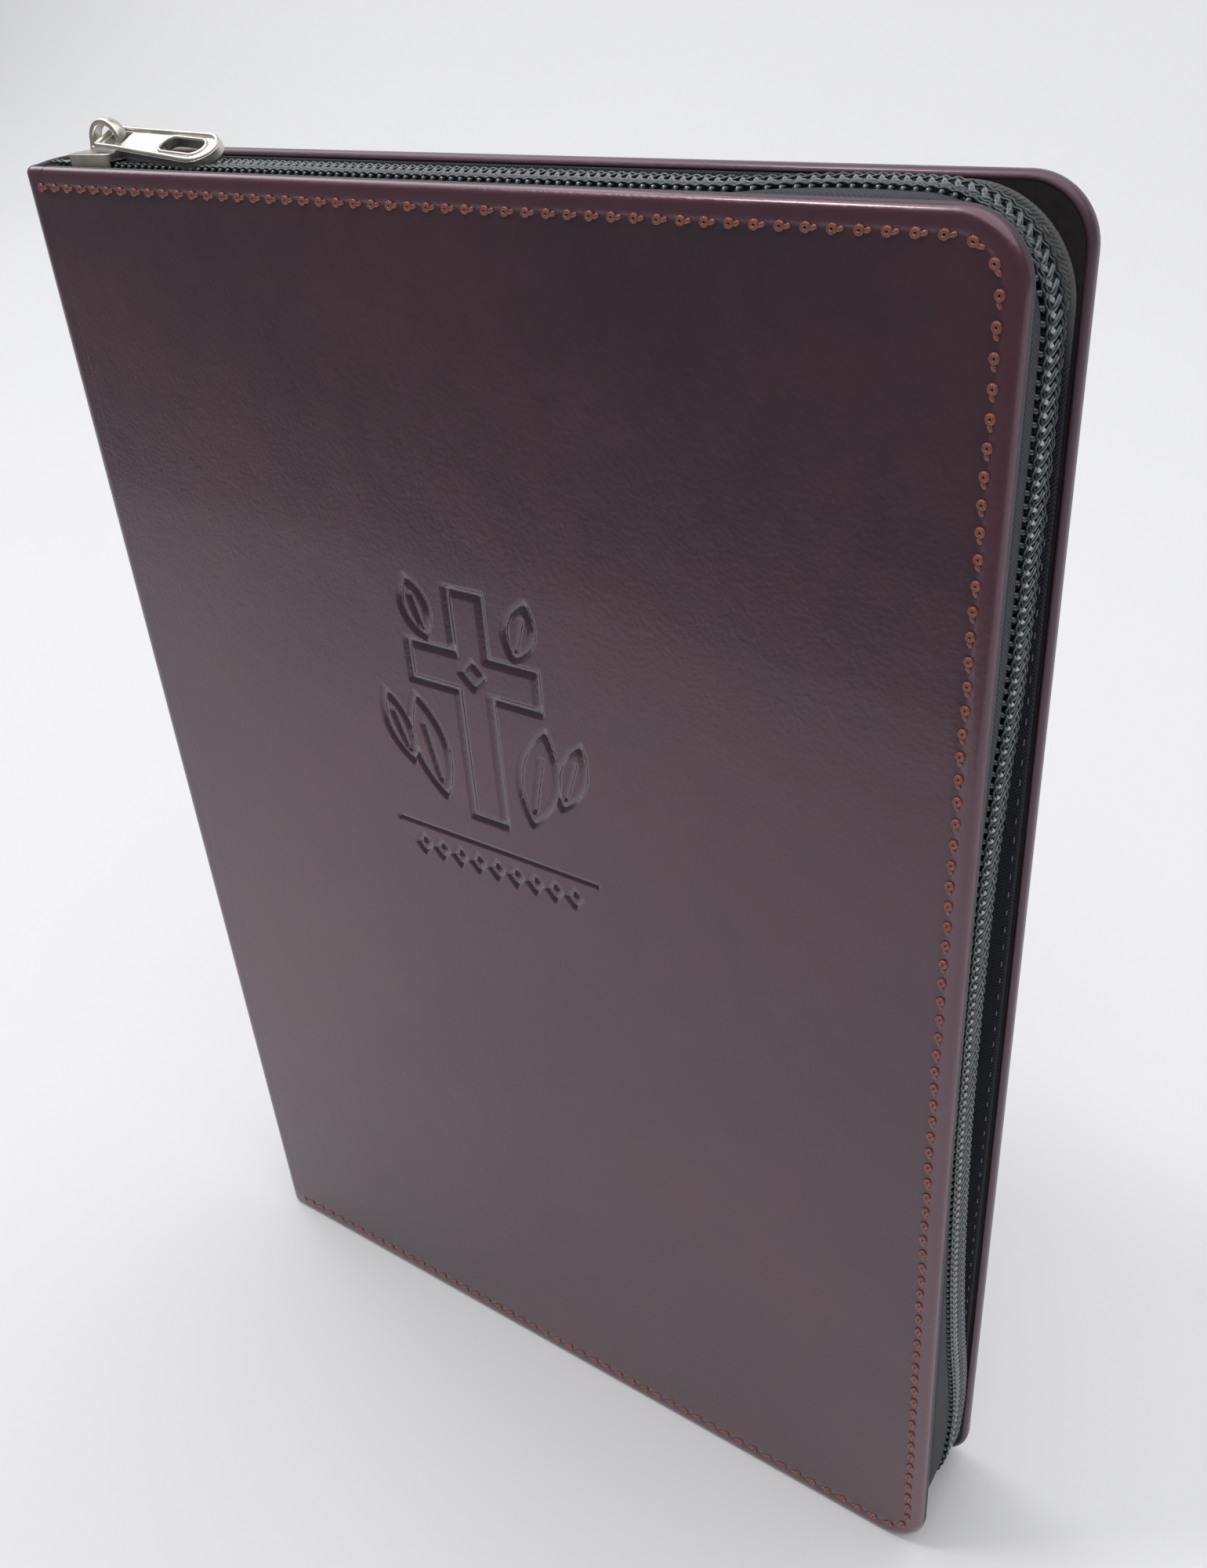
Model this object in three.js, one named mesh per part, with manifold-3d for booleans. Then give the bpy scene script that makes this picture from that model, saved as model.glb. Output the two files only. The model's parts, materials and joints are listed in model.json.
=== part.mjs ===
// A devotional book in a zip-closed, leather-look case: two stiffened covers, a soft spine,
// a sewn text block that opens at its middle, a coil zip round three sides, its slider and pull.
// Millimetres. X runs from the spine to the fore-edge, Y from the front cover to the rear cover,
// Z from the tail up to the head. The origin is the middle of the closed book's foot.
import * as THREE from "three";
import { mergeVertices } from "three/addons/utils/BufferGeometryUtils.js";
import Module from "manifold-3d";

const wasm = await Module();
wasm.setup();

// ---- Driving dimensions -------------------------------------------------------------------
// case
const COVER_HEIGHT = 220;
const COVER_WIDTH = 154;
const CORNER_RADIUS = 8;
const SPINE_EDGE_RADIUS = 2.5;
const SPINE_ROUND = 3; // how far the soft spine bulges at its middle
const SKIN = 0.9;
const BOARD = 1.2;
const LINING = 0.5;
const PASTEDOWN = 0.25;
const HINGE_INSET = 3; // spine face to the fold that each cover turns about
const BOARD_EDGE_INSET = 9.2;
const BOARD_CORNER = 2;
const PASTEDOWN_EDGE_INSET = 8;
const LAYER_GAP = 0.05; // glue line between two flat layers
const FOLD_GAP = 0.1; // between the spine skin and a cover, and between the spine's two halves

// text block
const SECTION_COUNT = 12; // even, because the book opens at its middle
const SECTION_THICKNESS = 1.2;
const SECTION_GAP = 0.04;
const FLYLEAF = 0.2;
const PAGE_HEIGHT = 204;
const PAGE_WIDTH = 142;
const PAGE_CORNER_RADIUS = 7;
const SPINE_LINING = 0.4;
const SPINE_LINING_INSET = 10; // from the head and the tail of the pages
const SPINE_HOLLOW = 0.5; // between the spine skin and the lined back of the block
const BAND_RADIUS = 1.1;
const RIBBON_WIDTH = 5;
const RIBBON_THICKNESS = 0.25;
const RIBBON_TOP_SHARE = 0.04; // where the ribbon crosses the head and the tail, as shares of the page
const RIBBON_FOOT_SHARE = 0.3;
const RIBBON_END_INSET = 6;

// seam
const SEAM_INSET = 2.8;
const THREAD_WIDTH = 0.6;
const THREAD_THICKNESS = 0.3;
const THREAD_CLEARANCE = 0.1; // each side of the thread in its groove
const THREAD_START = 1; // from the fold

// zip
const CHAIN_WIDTH = 6.4;
const COIL_HEIGHT = 1.9;
const COIL_SHOULDER = 0.6; // the coil's outer corner is cut off by this much
const COIL_CLOSING = 0.6; // length over which the parted coils come together
const COIL_PART_GAP = 0.1; // half the gap between the two closed coils
const TAPE = 0.6;
const TAPE_EDGE_FROM_CENTRE = 1.25;
const TAPE_COIL_GAP = 0.05;
const TAPE_FLANGE = 4.2; // the part of the tape that is sewn to the inside of a cover
const TAPE_FLAT = 4.6; // flat part of the rear tape, from the chain's middle
const CHAIN_INSET_HEAD = 0.8; // chain's middle below the head edge of the covers
const CHAIN_INSET_FORE = 1.2;
const CHAIN_INSET_TAIL = 2.2;
const CHAIN_CORNER_RADIUS = 13;
const CHAIN_COVER_CLEARANCE = 0.1;
const CHAIN_TAIL_Y = -2;
const COIL_PAST_SLIDER = 6.8; // loose coil that shows between the slider and the spine
const TAPE_START = 0.7; // from the fold
const ZIP_STOP_FROM_FOLD = 5;
const ZIP_STOP_LENGTH = 2.6;
const HEAD_RUN_END = [57, 45]; // the slider's straight run ends here, from the fore-edge
// Where the chain wanders between the covers: distance along the head from the fore-edge, and
// share of the height down the fore-edge, each with the chain's Y.
const HEAD_WANDER = [
  [39, -3.8],
  [35, -2.9],
  [30, -0.2],
  [26, 2.1],
  [20, 2.9],
  [14.2, 1.6],
];
const FORE_WANDER = [
  [0.93, 0.2],
  [0.9, 0.6],
  [0.86, -0.6],
  [0.8, -1.3],
  [0.75, -1.7],
  [0.7, -4],
  [0.64, -5],
  [0.45, -5],
  [0.36, -4.6],
  [0.29, -3.6],
  [0.21, -0.9],
  [0.145, 2.5],
  [0.1, 3.8],
  [0.07, 2.6],
];

// slider and pull
const SLIDER_LENGTH = 8.2;
const SLIDER_FROM_SPINE = 7.8; // spine face to the slider's near end
const SLIDER_SHOULDER = 0.45; // full width over this share of the length
const SLIDER_TAPER = 0.5; // each side narrower at the far end
const SLIDER_ROUND = 1.2;
const SLIDER_WALL = 1.3;
const SLIDER_PLATE = 1.1;
const SLIDER_CLEARANCE = 0.15;
const SLIDER_BASE_INSET = 0.85; // base plate's edge inside the cap's
const SLIDER_COVER_GAP = 0.29; // between the slider and the front cover
const SLOT_CLEARANCE = 0.3; // round the tape
const WEDGE_LENGTH = 2.8;
const WEDGE_HALF = 0.85;
const BAIL_FORWARD = 0.6; // bail's middle ahead of the slider's
const BAIL_INNER = 1.9;
const BAIL_OUTER = 3.2;
const BAIL_WIDTH = 1.6;
const PULL_PIVOT_RISE = 1.3; // pull's pivot above the slider's top plate
const PULL_LENGTH = 23.5;
const PULL_THICKNESS = 1.2;
const PULL_EYE_HALF = 2.7;
const PULL_END_HALF = 3.4;
const PULL_EYE_RAIL = 1.1; // metal on each side of the eye
const PULL_BAR = 0.8; // half the bar that the bail holds
const PULL_EYE_GAP = 1; // clearance between the eye and the bail, along the pull
const PULL_WINDOW_LENGTH = 8;
const PULL_WINDOW_HALF = 1.5;
const PULL_WINDOW_END = 2.6; // window's far end to the pull's tip
const PULL_TIP_CLEARANCE = 0.25; // tip above the chain

// ---- Derived places -----------------------------------------------------------------------
const HALF_SECTIONS = SECTION_COUNT / 2;
const COVER = SKIN + BOARD + LINING + 2 * LAYER_GAP;
const BLOCK_HALF =
  RIBBON_THICKNESS + 2 * LAYER_GAP + HALF_SECTIONS * (SECTION_THICKNESS + SECTION_GAP) + FLYLEAF;
const HALF_THICKNESS = BLOCK_HALF + LAYER_GAP + PASTEDOWN + LAYER_GAP + COVER;
const FORE_X = (COVER_WIDTH + SPINE_ROUND) / 2;
const SPINE_X = FORE_X - COVER_WIDTH;
const FOLD_X = SPINE_X + HINGE_INSET;
const BLOCK_X = SPINE_X + SKIN + SPINE_HOLLOW + SPINE_LINING + LAYER_GAP;
const PAGE_BOTTOM = (COVER_HEIGHT - PAGE_HEIGHT) / 2;
const PAGE_TOP = PAGE_BOTTOM + PAGE_HEIGHT;
const CHAIN_HALF = CHAIN_WIDTH / 2;
const CHAIN_Y_LIMIT = HALF_THICKNESS - COVER - CHAIN_HALF - CHAIN_COVER_CLEARANCE;
const CHAIN_HEAD_Z = COVER_HEIGHT - CHAIN_INSET_HEAD;
const COIL_TOP = COIL_HEIGHT / 2;
const TAPE_TOP = -COIL_TOP - TAPE_COIL_GAP; // offsets outward from the chain's middle
const TAPE_BOTTOM = TAPE_TOP - TAPE;

const SLIDER_X = SPINE_X + SLIDER_FROM_SPINE;
const SLIDER_TOP = CHAIN_HEAD_Z + COIL_TOP + SLIDER_CLEARANCE + SLIDER_PLATE;
const SLIDER_HALF = CHAIN_HALF + SLIDER_CLEARANCE + SLIDER_WALL;
const CHAIN_RUN_Y = SLIDER_HALF + SLIDER_COVER_GAP - (HALF_THICKNESS - COVER);
const PIVOT_X = SLIDER_X + SLIDER_LENGTH / 2 + BAIL_FORWARD;
const PIVOT_Z = SLIDER_TOP + PULL_PIVOT_RISE;
const PULL_TILT = Math.asin(
  (PIVOT_Z - (CHAIN_HEAD_Z + COIL_TOP) - PULL_THICKNESS / 2 - PULL_TIP_CLEARANCE) / PULL_LENGTH,
);

// ---- Materials ----------------------------------------------------------------------------
const finish = (color, roughness, metalness = 0) =>
  new THREE.MeshStandardMaterial({ color, roughness, metalness });
const leatherFinish = () => finish(0x3a2229, 0.34);
const boardFinish = () => finish(0x8b8378, 0.9);
const liningFinish = () => finish(0x241a1d, 0.6);
const paperFinish = () => finish(0xeae3d2, 0.85);
const threadFinish = () => finish(0x9a5548, 0.4);
const tapeFinish = () => finish(0x1c2024, 0.8);
const coilFinish = () => finish(0x20292b, 0.35);
const nickelFinish = () => finish(0xb9b4a8, 0.28, 1);
const ribbonFinish = () => finish(0x6b1626, 0.5);
const bandFinish = () => finish(0x7a2b33, 0.7);

const book = new THREE.Group();

function addPiece(name, geometry, material) {
  const mesh = new THREE.Mesh(geometry, material);
  mesh.name = name;
  book.add(mesh);
  return mesh;
}

// ---- Solid helpers ------------------------------------------------------------------------
function toSolid(geometry) {
  const bare = geometry.clone();
  bare.deleteAttribute("normal");
  bare.deleteAttribute("uv");
  const merged = mergeVertices(bare, 1e-4);
  return new wasm.Manifold(
    new wasm.Mesh({
      numProp: 3,
      vertProperties: merged.attributes.position.array,
      triVerts: new Uint32Array(merged.index.array),
    }),
  );
}

function toGeometry(solid) {
  const mesh = solid.getMesh();
  const geometry = new THREE.BufferGeometry();
  geometry.setAttribute("position", new THREE.BufferAttribute(mesh.vertProperties, 3));
  geometry.setIndex(new THREE.BufferAttribute(mesh.triVerts, 1));
  geometry.computeVertexNormals();
  return geometry;
}

function boxBetween(low, high) {
  const size = high.map((value, i) => value - low[i]);
  const middle = high.map((value, i) => (value + low[i]) / 2);
  return new THREE.BoxGeometry(...size).translate(...middle);
}

// A flat layer: an outline drawn in X and Z, with its thickness along Y.
function layer(outline, y0, y1, curveSegments = 6) {
  const depth = y1 - y0;
  return new THREE.ExtrudeGeometry(outline, { depth, bevelEnabled: false, curveSegments })
    .rotateX(Math.PI / 2)
    .translate(0, y1, 0);
}

// The same layer on either side of the book: near and far are distances from the middle.
function sideLayer(outline, side, near, far) {
  return side < 0 ? layer(outline, -far, -near) : layer(outline, near, far);
}

// A leaf's outline: square at the spine, round at the two fore-edge corners.
function leafOutline(x0, x1, z0, z1, radius) {
  const outline = new THREE.Shape();
  outline.moveTo(x0, z0);
  outline.lineTo(x1 - radius, z0);
  outline.absarc(x1 - radius, z0 + radius, radius, -Math.PI / 2, 0);
  outline.lineTo(x1, z1 - radius);
  outline.absarc(x1 - radius, z1 - radius, radius, 0, Math.PI / 2);
  outline.lineTo(x0, z1);
  outline.closePath();
  return outline;
}

// A band that follows the head, fore-edge and tail of a cover, between two insets.
function bandOutline(x0, outerInset, innerInset) {
  const outline = new THREE.Shape();
  const trace = (inset, forwards) => {
    const r = Math.max(CORNER_RADIUS - inset, 0.5);
    const x = FORE_X - inset - r;
    const low = inset + r;
    const high = COVER_HEIGHT - inset - r;
    if (forwards) {
      outline.moveTo(x0, inset);
      outline.lineTo(x, inset);
      outline.absarc(x, low, r, -Math.PI / 2, 0);
      outline.absarc(x, high, r, 0, Math.PI / 2);
      outline.lineTo(x0, COVER_HEIGHT - inset);
    } else {
      outline.lineTo(x0, COVER_HEIGHT - inset);
      outline.absarc(x, high, r, Math.PI / 2, 0, true);
      outline.absarc(x, low, r, 0, -Math.PI / 2, true);
      outline.lineTo(x0, inset);
    }
  };
  trace(outerInset, true);
  trace(innerInset, false);
  outline.closePath();
  return outline;
}

// A closed solid through rings of points, each ring having the same number of points. section is
// the first ring as flat corners, which the two ends are filled with.
function loft(rings, section) {
  const count = rings[0].length;
  const positions = rings.flat(2);
  const faces = [];
  for (let i = 0; i + 1 < rings.length; i += 1) {
    for (let k = 0; k < count; k += 1) {
      const a = i * count + k;
      const b = i * count + ((k + 1) % count);
      faces.push(a, a + count, b, b, a + count, b + count);
    }
  }
  const flat = section.map(([out, y]) => new THREE.Vector2(out, y));
  for (const [a, b, c] of THREE.ShapeUtils.triangulateShape(flat, [])) {
    const last = (rings.length - 1) * count;
    faces.push(a, b, c, last + a, last + c, last + b);
  }
  const geometry = new THREE.BufferGeometry();
  geometry.setAttribute("position", new THREE.Float32BufferAttribute(positions, 3));
  geometry.setIndex(faces);
  geometry.computeVertexNormals();
  return geometry;
}

// ---- Case ---------------------------------------------------------------------------------
// side is -1 for the front cover and +1 for the rear cover.
function buildCover(side, prefix) {
  const outer = HALF_THICKNESS;
  const inner = outer - COVER;
  const tray = toSolid(
    sideLayer(leafOutline(FOLD_X, FORE_X, 0, COVER_HEIGHT, CORNER_RADIUS), side, inner, outer),
  );
  const hollow = leafOutline(
    FOLD_X - 1,
    FORE_X - SKIN,
    SKIN,
    COVER_HEIGHT - SKIN,
    CORNER_RADIUS - SKIN,
  );
  const cut = toSolid(sideLayer(hollow, side, inner - 1, outer - SKIN));
  const seam = (spare) =>
    bandOutline(
      FOLD_X + THREAD_START - spare,
      SEAM_INSET - THREAD_WIDTH / 2 - spare,
      SEAM_INSET + THREAD_WIDTH / 2 + spare,
    );
  const grooveDepth = THREAD_THICKNESS + 2 * LAYER_GAP;
  const groove = toSolid(
    sideLayer(seam(THREAD_CLEARANCE), side, outer - grooveDepth, outer + 1),
  );
  const skin = tray.subtract(cut).subtract(groove);
  addPiece(`${prefix}_cover_skin`, toGeometry(skin), leatherFinish());
  const threadFar = outer - LAYER_GAP;
  addPiece(
    `${prefix}_seam_thread`,
    sideLayer(seam(0), side, threadFar - THREAD_THICKNESS, threadFar),
    threadFinish(),
  );

  const boardFar = outer - SKIN - LAYER_GAP;
  const board = leafOutline(
    FOLD_X + HINGE_INSET / 2,
    FORE_X - BOARD_EDGE_INSET,
    BOARD_EDGE_INSET,
    COVER_HEIGHT - BOARD_EDGE_INSET,
    BOARD_CORNER,
  );
  addPiece(`${prefix}_board`, sideLayer(board, side, boardFar - BOARD, boardFar), boardFinish());

  const liningInset = SKIN + LAYER_GAP;
  const lining = leafOutline(
    FOLD_X + FOLD_GAP,
    FORE_X - liningInset,
    liningInset,
    COVER_HEIGHT - liningInset,
    CORNER_RADIUS - liningInset,
  );
  addPiece(`${prefix}_lining`, sideLayer(lining, side, inner, inner + LINING), liningFinish());

  const pastedown = leafOutline(
    FOLD_X + FOLD_GAP,
    BLOCK_X + PAGE_WIDTH,
    PASTEDOWN_EDGE_INSET,
    COVER_HEIGHT - PASTEDOWN_EDGE_INSET,
    PAGE_CORNER_RADIUS,
  );
  const leafFar = inner - LAYER_GAP;
  addPiece(
    `${prefix}_pastedown`,
    sideLayer(pastedown, side, leafFar - PASTEDOWN, leafFar),
    paperFinish(),
  );
}

// Half of the soft spine, carried from the tail to the head: a bulging back, a rounded corner and
// a narrow strip up to the fold of the cover.
function buildSpineSkin(side, prefix) {
  const r = SPINE_EDGE_RADIUS;
  const cornerY = HALF_THICKNESS - r;
  const steps = 6;
  const back = [];
  for (let i = 0; i <= steps; i += 1) {
    const y = THREE.MathUtils.lerp(FOLD_GAP, cornerY, i / steps);
    back.push([SPINE_X - SPINE_ROUND * (1 - (y / cornerY) ** 2), y]);
  }
  const outline = new THREE.Shape();
  outline.moveTo(...back[0]);
  for (const [x, y] of back.slice(1)) outline.lineTo(x, y);
  outline.absarc(SPINE_X + r, cornerY, r, Math.PI, Math.PI / 2, true);
  outline.lineTo(FOLD_X - FOLD_GAP, HALF_THICKNESS);
  outline.lineTo(FOLD_X - FOLD_GAP, HALF_THICKNESS - SKIN);
  outline.absarc(SPINE_X + r, cornerY, r - SKIN, Math.PI / 2, Math.PI);
  for (const [x, y] of back.reverse()) outline.lineTo(x + SKIN, y);
  outline.closePath();
  let skin = new THREE.ExtrudeGeometry(outline, {
    depth: COVER_HEIGHT,
    bevelEnabled: false,
    curveSegments: 6,
  });
  if (side < 0) skin = skin.rotateX(Math.PI).translate(0, 0, COVER_HEIGHT);
  addPiece(`${prefix}_spine_skin`, skin, leatherFinish());
}

// ---- Text block ---------------------------------------------------------------------------
function buildHalfBlock(side, prefix) {
  const page = leafOutline(BLOCK_X, BLOCK_X + PAGE_WIDTH, PAGE_BOTTOM, PAGE_TOP, PAGE_CORNER_RADIUS);
  const first = RIBBON_THICKNESS + 2 * LAYER_GAP;
  for (let i = 0; i < HALF_SECTIONS; i += 1) {
    const near = first + i * (SECTION_THICKNESS + SECTION_GAP);
    const number = side < 0 ? HALF_SECTIONS - i : HALF_SECTIONS + 1 + i;
    const name = `section_${String(number).padStart(2, "0")}`;
    addPiece(name, sideLayer(page, side, near, near + SECTION_THICKNESS), paperFinish());
  }
  addPiece(
    `${prefix}_flyleaf`,
    sideLayer(page, side, BLOCK_HALF - FLYLEAF, BLOCK_HALF),
    paperFinish(),
  );
}

function buildBack() {
  const x1 = BLOCK_X - LAYER_GAP;
  addPiece(
    "spine_lining",
    boxBetween(
      [x1 - SPINE_LINING, -BLOCK_HALF, PAGE_BOTTOM + SPINE_LINING_INSET],
      [x1, BLOCK_HALF, PAGE_TOP - SPINE_LINING_INSET],
    ),
    finish(0xd8cfb8, 0.95),
  );
  const bands = [
    ["head_band", PAGE_TOP + LAYER_GAP, 0],
    ["tail_band", PAGE_BOTTOM - LAYER_GAP, Math.PI],
  ];
  for (const [name, z, turn] of bands) {
    // Half-round cord along Y with its flat on the pages, clear of the tapes' ends.
    const half = new THREE.Shape().absarc(0, 0, BAND_RADIUS, turn, turn + Math.PI);
    addPiece(
      name,
      layer(half, -BLOCK_HALF + BAND_RADIUS, BLOCK_HALF - BAND_RADIUS).translate(
        BLOCK_X + BAND_RADIUS,
        0,
        z,
      ),
      bandFinish(),
    );
  }
}

// The ribbon hangs from the head band and lies slantwise down the page it marks.
function buildRibbon() {
  const top = PAGE_TOP - RIBBON_END_INSET;
  const foot = PAGE_BOTTOM + RIBBON_END_INSET;
  const topX = BLOCK_X + PAGE_WIDTH * RIBBON_TOP_SHARE;
  const footX = BLOCK_X + PAGE_WIDTH * RIBBON_FOOT_SHARE;
  const outline = new THREE.Shape();
  outline.moveTo(topX, top);
  outline.lineTo(footX, foot + RIBBON_WIDTH);
  outline.lineTo(footX + RIBBON_WIDTH, foot);
  outline.lineTo(topX + RIBBON_WIDTH, top);
  outline.closePath();
  addPiece(
    "ribbon_marker",
    layer(outline, LAYER_GAP, LAYER_GAP + RIBBON_THICKNESS),
    ribbonFinish(),
  );
}

// ---- Zip ----------------------------------------------------------------------------------
const limitY = (y) => THREE.MathUtils.clamp(y, -CHAIN_Y_LIMIT, CHAIN_Y_LIMIT);

// Stations down the chain: place, outward direction and the chain's Y. xStart is on the head
// run and xEnd on the tail run.
function chainStations(xStart, xEnd) {
  const r = CHAIN_CORNER_RADIUS;
  const fore = FORE_X - CHAIN_INSET_FORE;
  const tail = CHAIN_INSET_TAIL;
  const stations = [];
  const run = HEAD_RUN_END.map((inset) => [inset, CHAIN_RUN_Y]);
  stations.push({ x: xStart, z: CHAIN_HEAD_Z, nx: 0, nz: 1, y: CHAIN_RUN_Y });
  for (const [inset, y] of [...run, ...HEAD_WANDER.slice(0, -1)]) {
    stations.push({ x: FORE_X - inset, z: CHAIN_HEAD_Z, nx: 0, nz: 1, y: limitY(y) });
  }
  const corner = (cz, from, y0, y1) => {
    const steps = 6;
    for (let i = 0; i <= steps; i += 1) {
      const angle = from - ((Math.PI / 2) * i) / steps;
      const nx = Math.cos(angle);
      const nz = Math.sin(angle);
      const y = limitY(THREE.MathUtils.lerp(y0, y1, i / steps));
      stations.push({ x: fore - r + r * nx, z: cz + r * nz, nx, nz, y });
    }
  };
  corner(CHAIN_HEAD_Z - r, Math.PI / 2, HEAD_WANDER.at(-1)[1], FORE_WANDER[0][1]);
  for (const [share, y] of FORE_WANDER.slice(1, -1)) {
    stations.push({ x: fore, z: COVER_HEIGHT * share, nx: 1, nz: 0, y: limitY(y) });
  }
  corner(tail + r, 0, FORE_WANDER.at(-1)[1], CHAIN_TAIL_Y);
  stations.push({ x: xEnd, z: tail, nx: 0, nz: -1, y: CHAIN_TAIL_Y });
  return stations;
}

// Carries a section along the chain. section(station) gives [outward, y] corners.
function alongChain(stations, section) {
  const rings = stations.map((s) =>
    section(s).map(([out, y]) => [s.x + s.nx * out, y, s.z + s.nz * out]),
  );
  return loft(rings, section(stations[0]));
}

function buildZipHalf(side, prefix) {
  const far = HALF_THICKNESS - COVER - LAYER_GAP;
  const near = far - TAPE;
  const tapeStations = chainStations(FOLD_X + TAPE_START, FOLD_X + TAPE_START);
  // Front tape: a web from the chain to the cover, and a flange that lies inwards on the lining.
  const frontSection = (s) => [
    [TAPE_BOTTOM, s.y - TAPE_EDGE_FROM_CENTRE],
    [TAPE_BOTTOM, -near],
    [TAPE_TOP - TAPE_FLANGE, -near],
    [TAPE_TOP - TAPE_FLANGE, -far],
    [TAPE_TOP, -far],
    [TAPE_TOP, s.y - TAPE_EDGE_FROM_CENTRE],
  ];
  // Rear tape: flat at the chain, then sloping down to the cover, where it turns outwards and is sewn.
  const rearSection = (s) => {
    const bend = Math.min(s.y + TAPE_FLAT, near - TAPE);
    const foot = TAPE_COIL_GAP - TAPE_FLANGE;
    const outerEdge = CHAIN_INSET_HEAD - SKIN - TAPE_COIL_GAP;
    return [
      [TAPE_TOP, s.y + TAPE_EDGE_FROM_CENTRE],
      [TAPE_TOP, bend],
      [foot, near],
      [outerEdge, near],
      [outerEdge, far],
      [foot - TAPE, far],
      [TAPE_BOTTOM, bend],
      [TAPE_BOTTOM, s.y + TAPE_EDGE_FROM_CENTRE],
    ];
  };
  const tapeSection = side < 0 ? frontSection : rearSection;
  addPiece(`${prefix}_zip_tape`, alongChain(tapeStations, tapeSection), tapeFinish());

  // The coil is parted round the slider's wedge and closed from there to the end stop.
  const parted = SLIDER_X + WEDGE_LENGTH + 3 * SLIDER_CLEARANCE;
  const coilEnd = FOLD_X + ZIP_STOP_FROM_FOLD + SLOT_CLEARANCE;
  const closed = chainStations(parted + COIL_CLOSING, coilEnd);
  const open = [SLIDER_X - COIL_PAST_SLIDER, parted].map((x) => ({
    ...closed[0],
    x,
    parted: true,
  }));
  const coilSection = (s) => {
    const inside = s.parted ? WEDGE_HALF + SLIDER_CLEARANCE : COIL_PART_GAP;
    const corners = [
      [-COIL_TOP, s.y + side * inside],
      [COIL_TOP, s.y + side * inside],
      [COIL_TOP, s.y + side * (CHAIN_HALF - COIL_SHOULDER)],
      [COIL_TOP / 3, s.y + side * CHAIN_HALF],
      [-COIL_TOP, s.y + side * CHAIN_HALF],
    ];
    return side < 0 ? corners.reverse() : corners;
  };
  addPiece(`${prefix}_zip_coil`, alongChain([...open, ...closed], coilSection), coilFinish());
}

function buildZipStop() {
  const x = FOLD_X + ZIP_STOP_FROM_FOLD;
  const z = CHAIN_INSET_TAIL;
  addPiece(
    "zip_end_stop",
    boxBetween(
      [x - ZIP_STOP_LENGTH, CHAIN_TAIL_Y - CHAIN_HALF, z - COIL_TOP],
      [x, CHAIN_TAIL_Y + CHAIN_HALF, z + COIL_TOP],
    ),
    nickelFinish(),
  );
}

// ---- Slider and pull ----------------------------------------------------------------------
// Outline of the slider in X and Y: wide shoulders at the wedge, narrower at the other end.
function sliderOutline(half) {
  const outline = new THREE.Shape();
  const x1 = SLIDER_X + SLIDER_LENGTH;
  const narrow = half - SLIDER_TAPER;
  const round = SLIDER_ROUND;
  outline.moveTo(SLIDER_X + round, -half);
  outline.lineTo(SLIDER_X + SLIDER_LENGTH * SLIDER_SHOULDER, -half);
  outline.lineTo(x1 - round, -narrow);
  outline.absarc(x1 - round, -narrow + round, round, -Math.PI / 2, 0);
  outline.absarc(x1 - round, narrow - round, round, 0, Math.PI / 2);
  outline.lineTo(SLIDER_X + SLIDER_LENGTH * SLIDER_SHOULDER, half);
  outline.absarc(SLIDER_X + round, half - round, round, Math.PI / 2, Math.PI);
  outline.absarc(SLIDER_X + round, -half + round, round, Math.PI, 1.5 * Math.PI);
  return outline;
}

function plate(outline, z0, z1) {
  const depth = z1 - z0;
  return toSolid(
    new THREE.ExtrudeGeometry(outline, { depth, bevelEnabled: false, curveSegments: 3 }).translate(
      0,
      CHAIN_RUN_Y,
      z0,
    ),
  );
}

function buildSlider() {
  const x1 = SLIDER_X + SLIDER_LENGTH;
  const y = CHAIN_RUN_Y;
  const tapeTop = CHAIN_HEAD_Z + TAPE_TOP;
  const tapeBottom = CHAIN_HEAD_Z + TAPE_BOTTOM;
  const innerTop = SLIDER_TOP - SLIDER_PLATE;
  const channelHalf = CHAIN_HALF + SLIDER_CLEARANCE;
  const outline = sliderOutline(SLIDER_HALF);
  const cap = plate(outline, tapeTop + SLOT_CLEARANCE, SLIDER_TOP);
  const channel = toSolid(
    boxBetween([SLIDER_X - 1, y - channelHalf, tapeTop], [x1 + 1, y + channelHalf, innerTop]),
  );
  const base = plate(
    sliderOutline(SLIDER_HALF - SLIDER_BASE_INSET),
    tapeBottom - SLOT_CLEARANCE - SLIDER_PLATE,
    tapeBottom - SLOT_CLEARANCE,
  );
  const wedge = toSolid(
    boxBetween(
      [SLIDER_X + SLIDER_CLEARANCE, y - WEDGE_HALF, tapeBottom - 1],
      [SLIDER_X + WEDGE_LENGTH, y + WEDGE_HALF, innerTop + 0.5],
    ),
  );

  // Bail: an arch in X and Z, round the pull's pivot.
  const sunk = -PULL_PIVOT_RISE - SLIDER_PLATE / 2;
  const arch = new THREE.Shape();
  arch.moveTo(BAIL_OUTER, sunk);
  arch.lineTo(BAIL_OUTER, 0);
  arch.absarc(0, 0, BAIL_OUTER, 0, Math.PI);
  arch.lineTo(-BAIL_OUTER, sunk);
  arch.lineTo(-BAIL_INNER, sunk);
  arch.absarc(0, 0, BAIL_INNER, Math.PI, 0, true);
  arch.lineTo(BAIL_INNER, sunk);
  arch.closePath();
  const bail = toSolid(
    layer(arch, y - BAIL_WIDTH / 2, y + BAIL_WIDTH / 2, 8).translate(PIVOT_X, 0, PIVOT_Z),
  );
  const slider = cap.subtract(channel).add(base).add(wedge).add(bail);
  addPiece("zip_slider", toGeometry(slider), nickelFinish());
}

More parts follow.
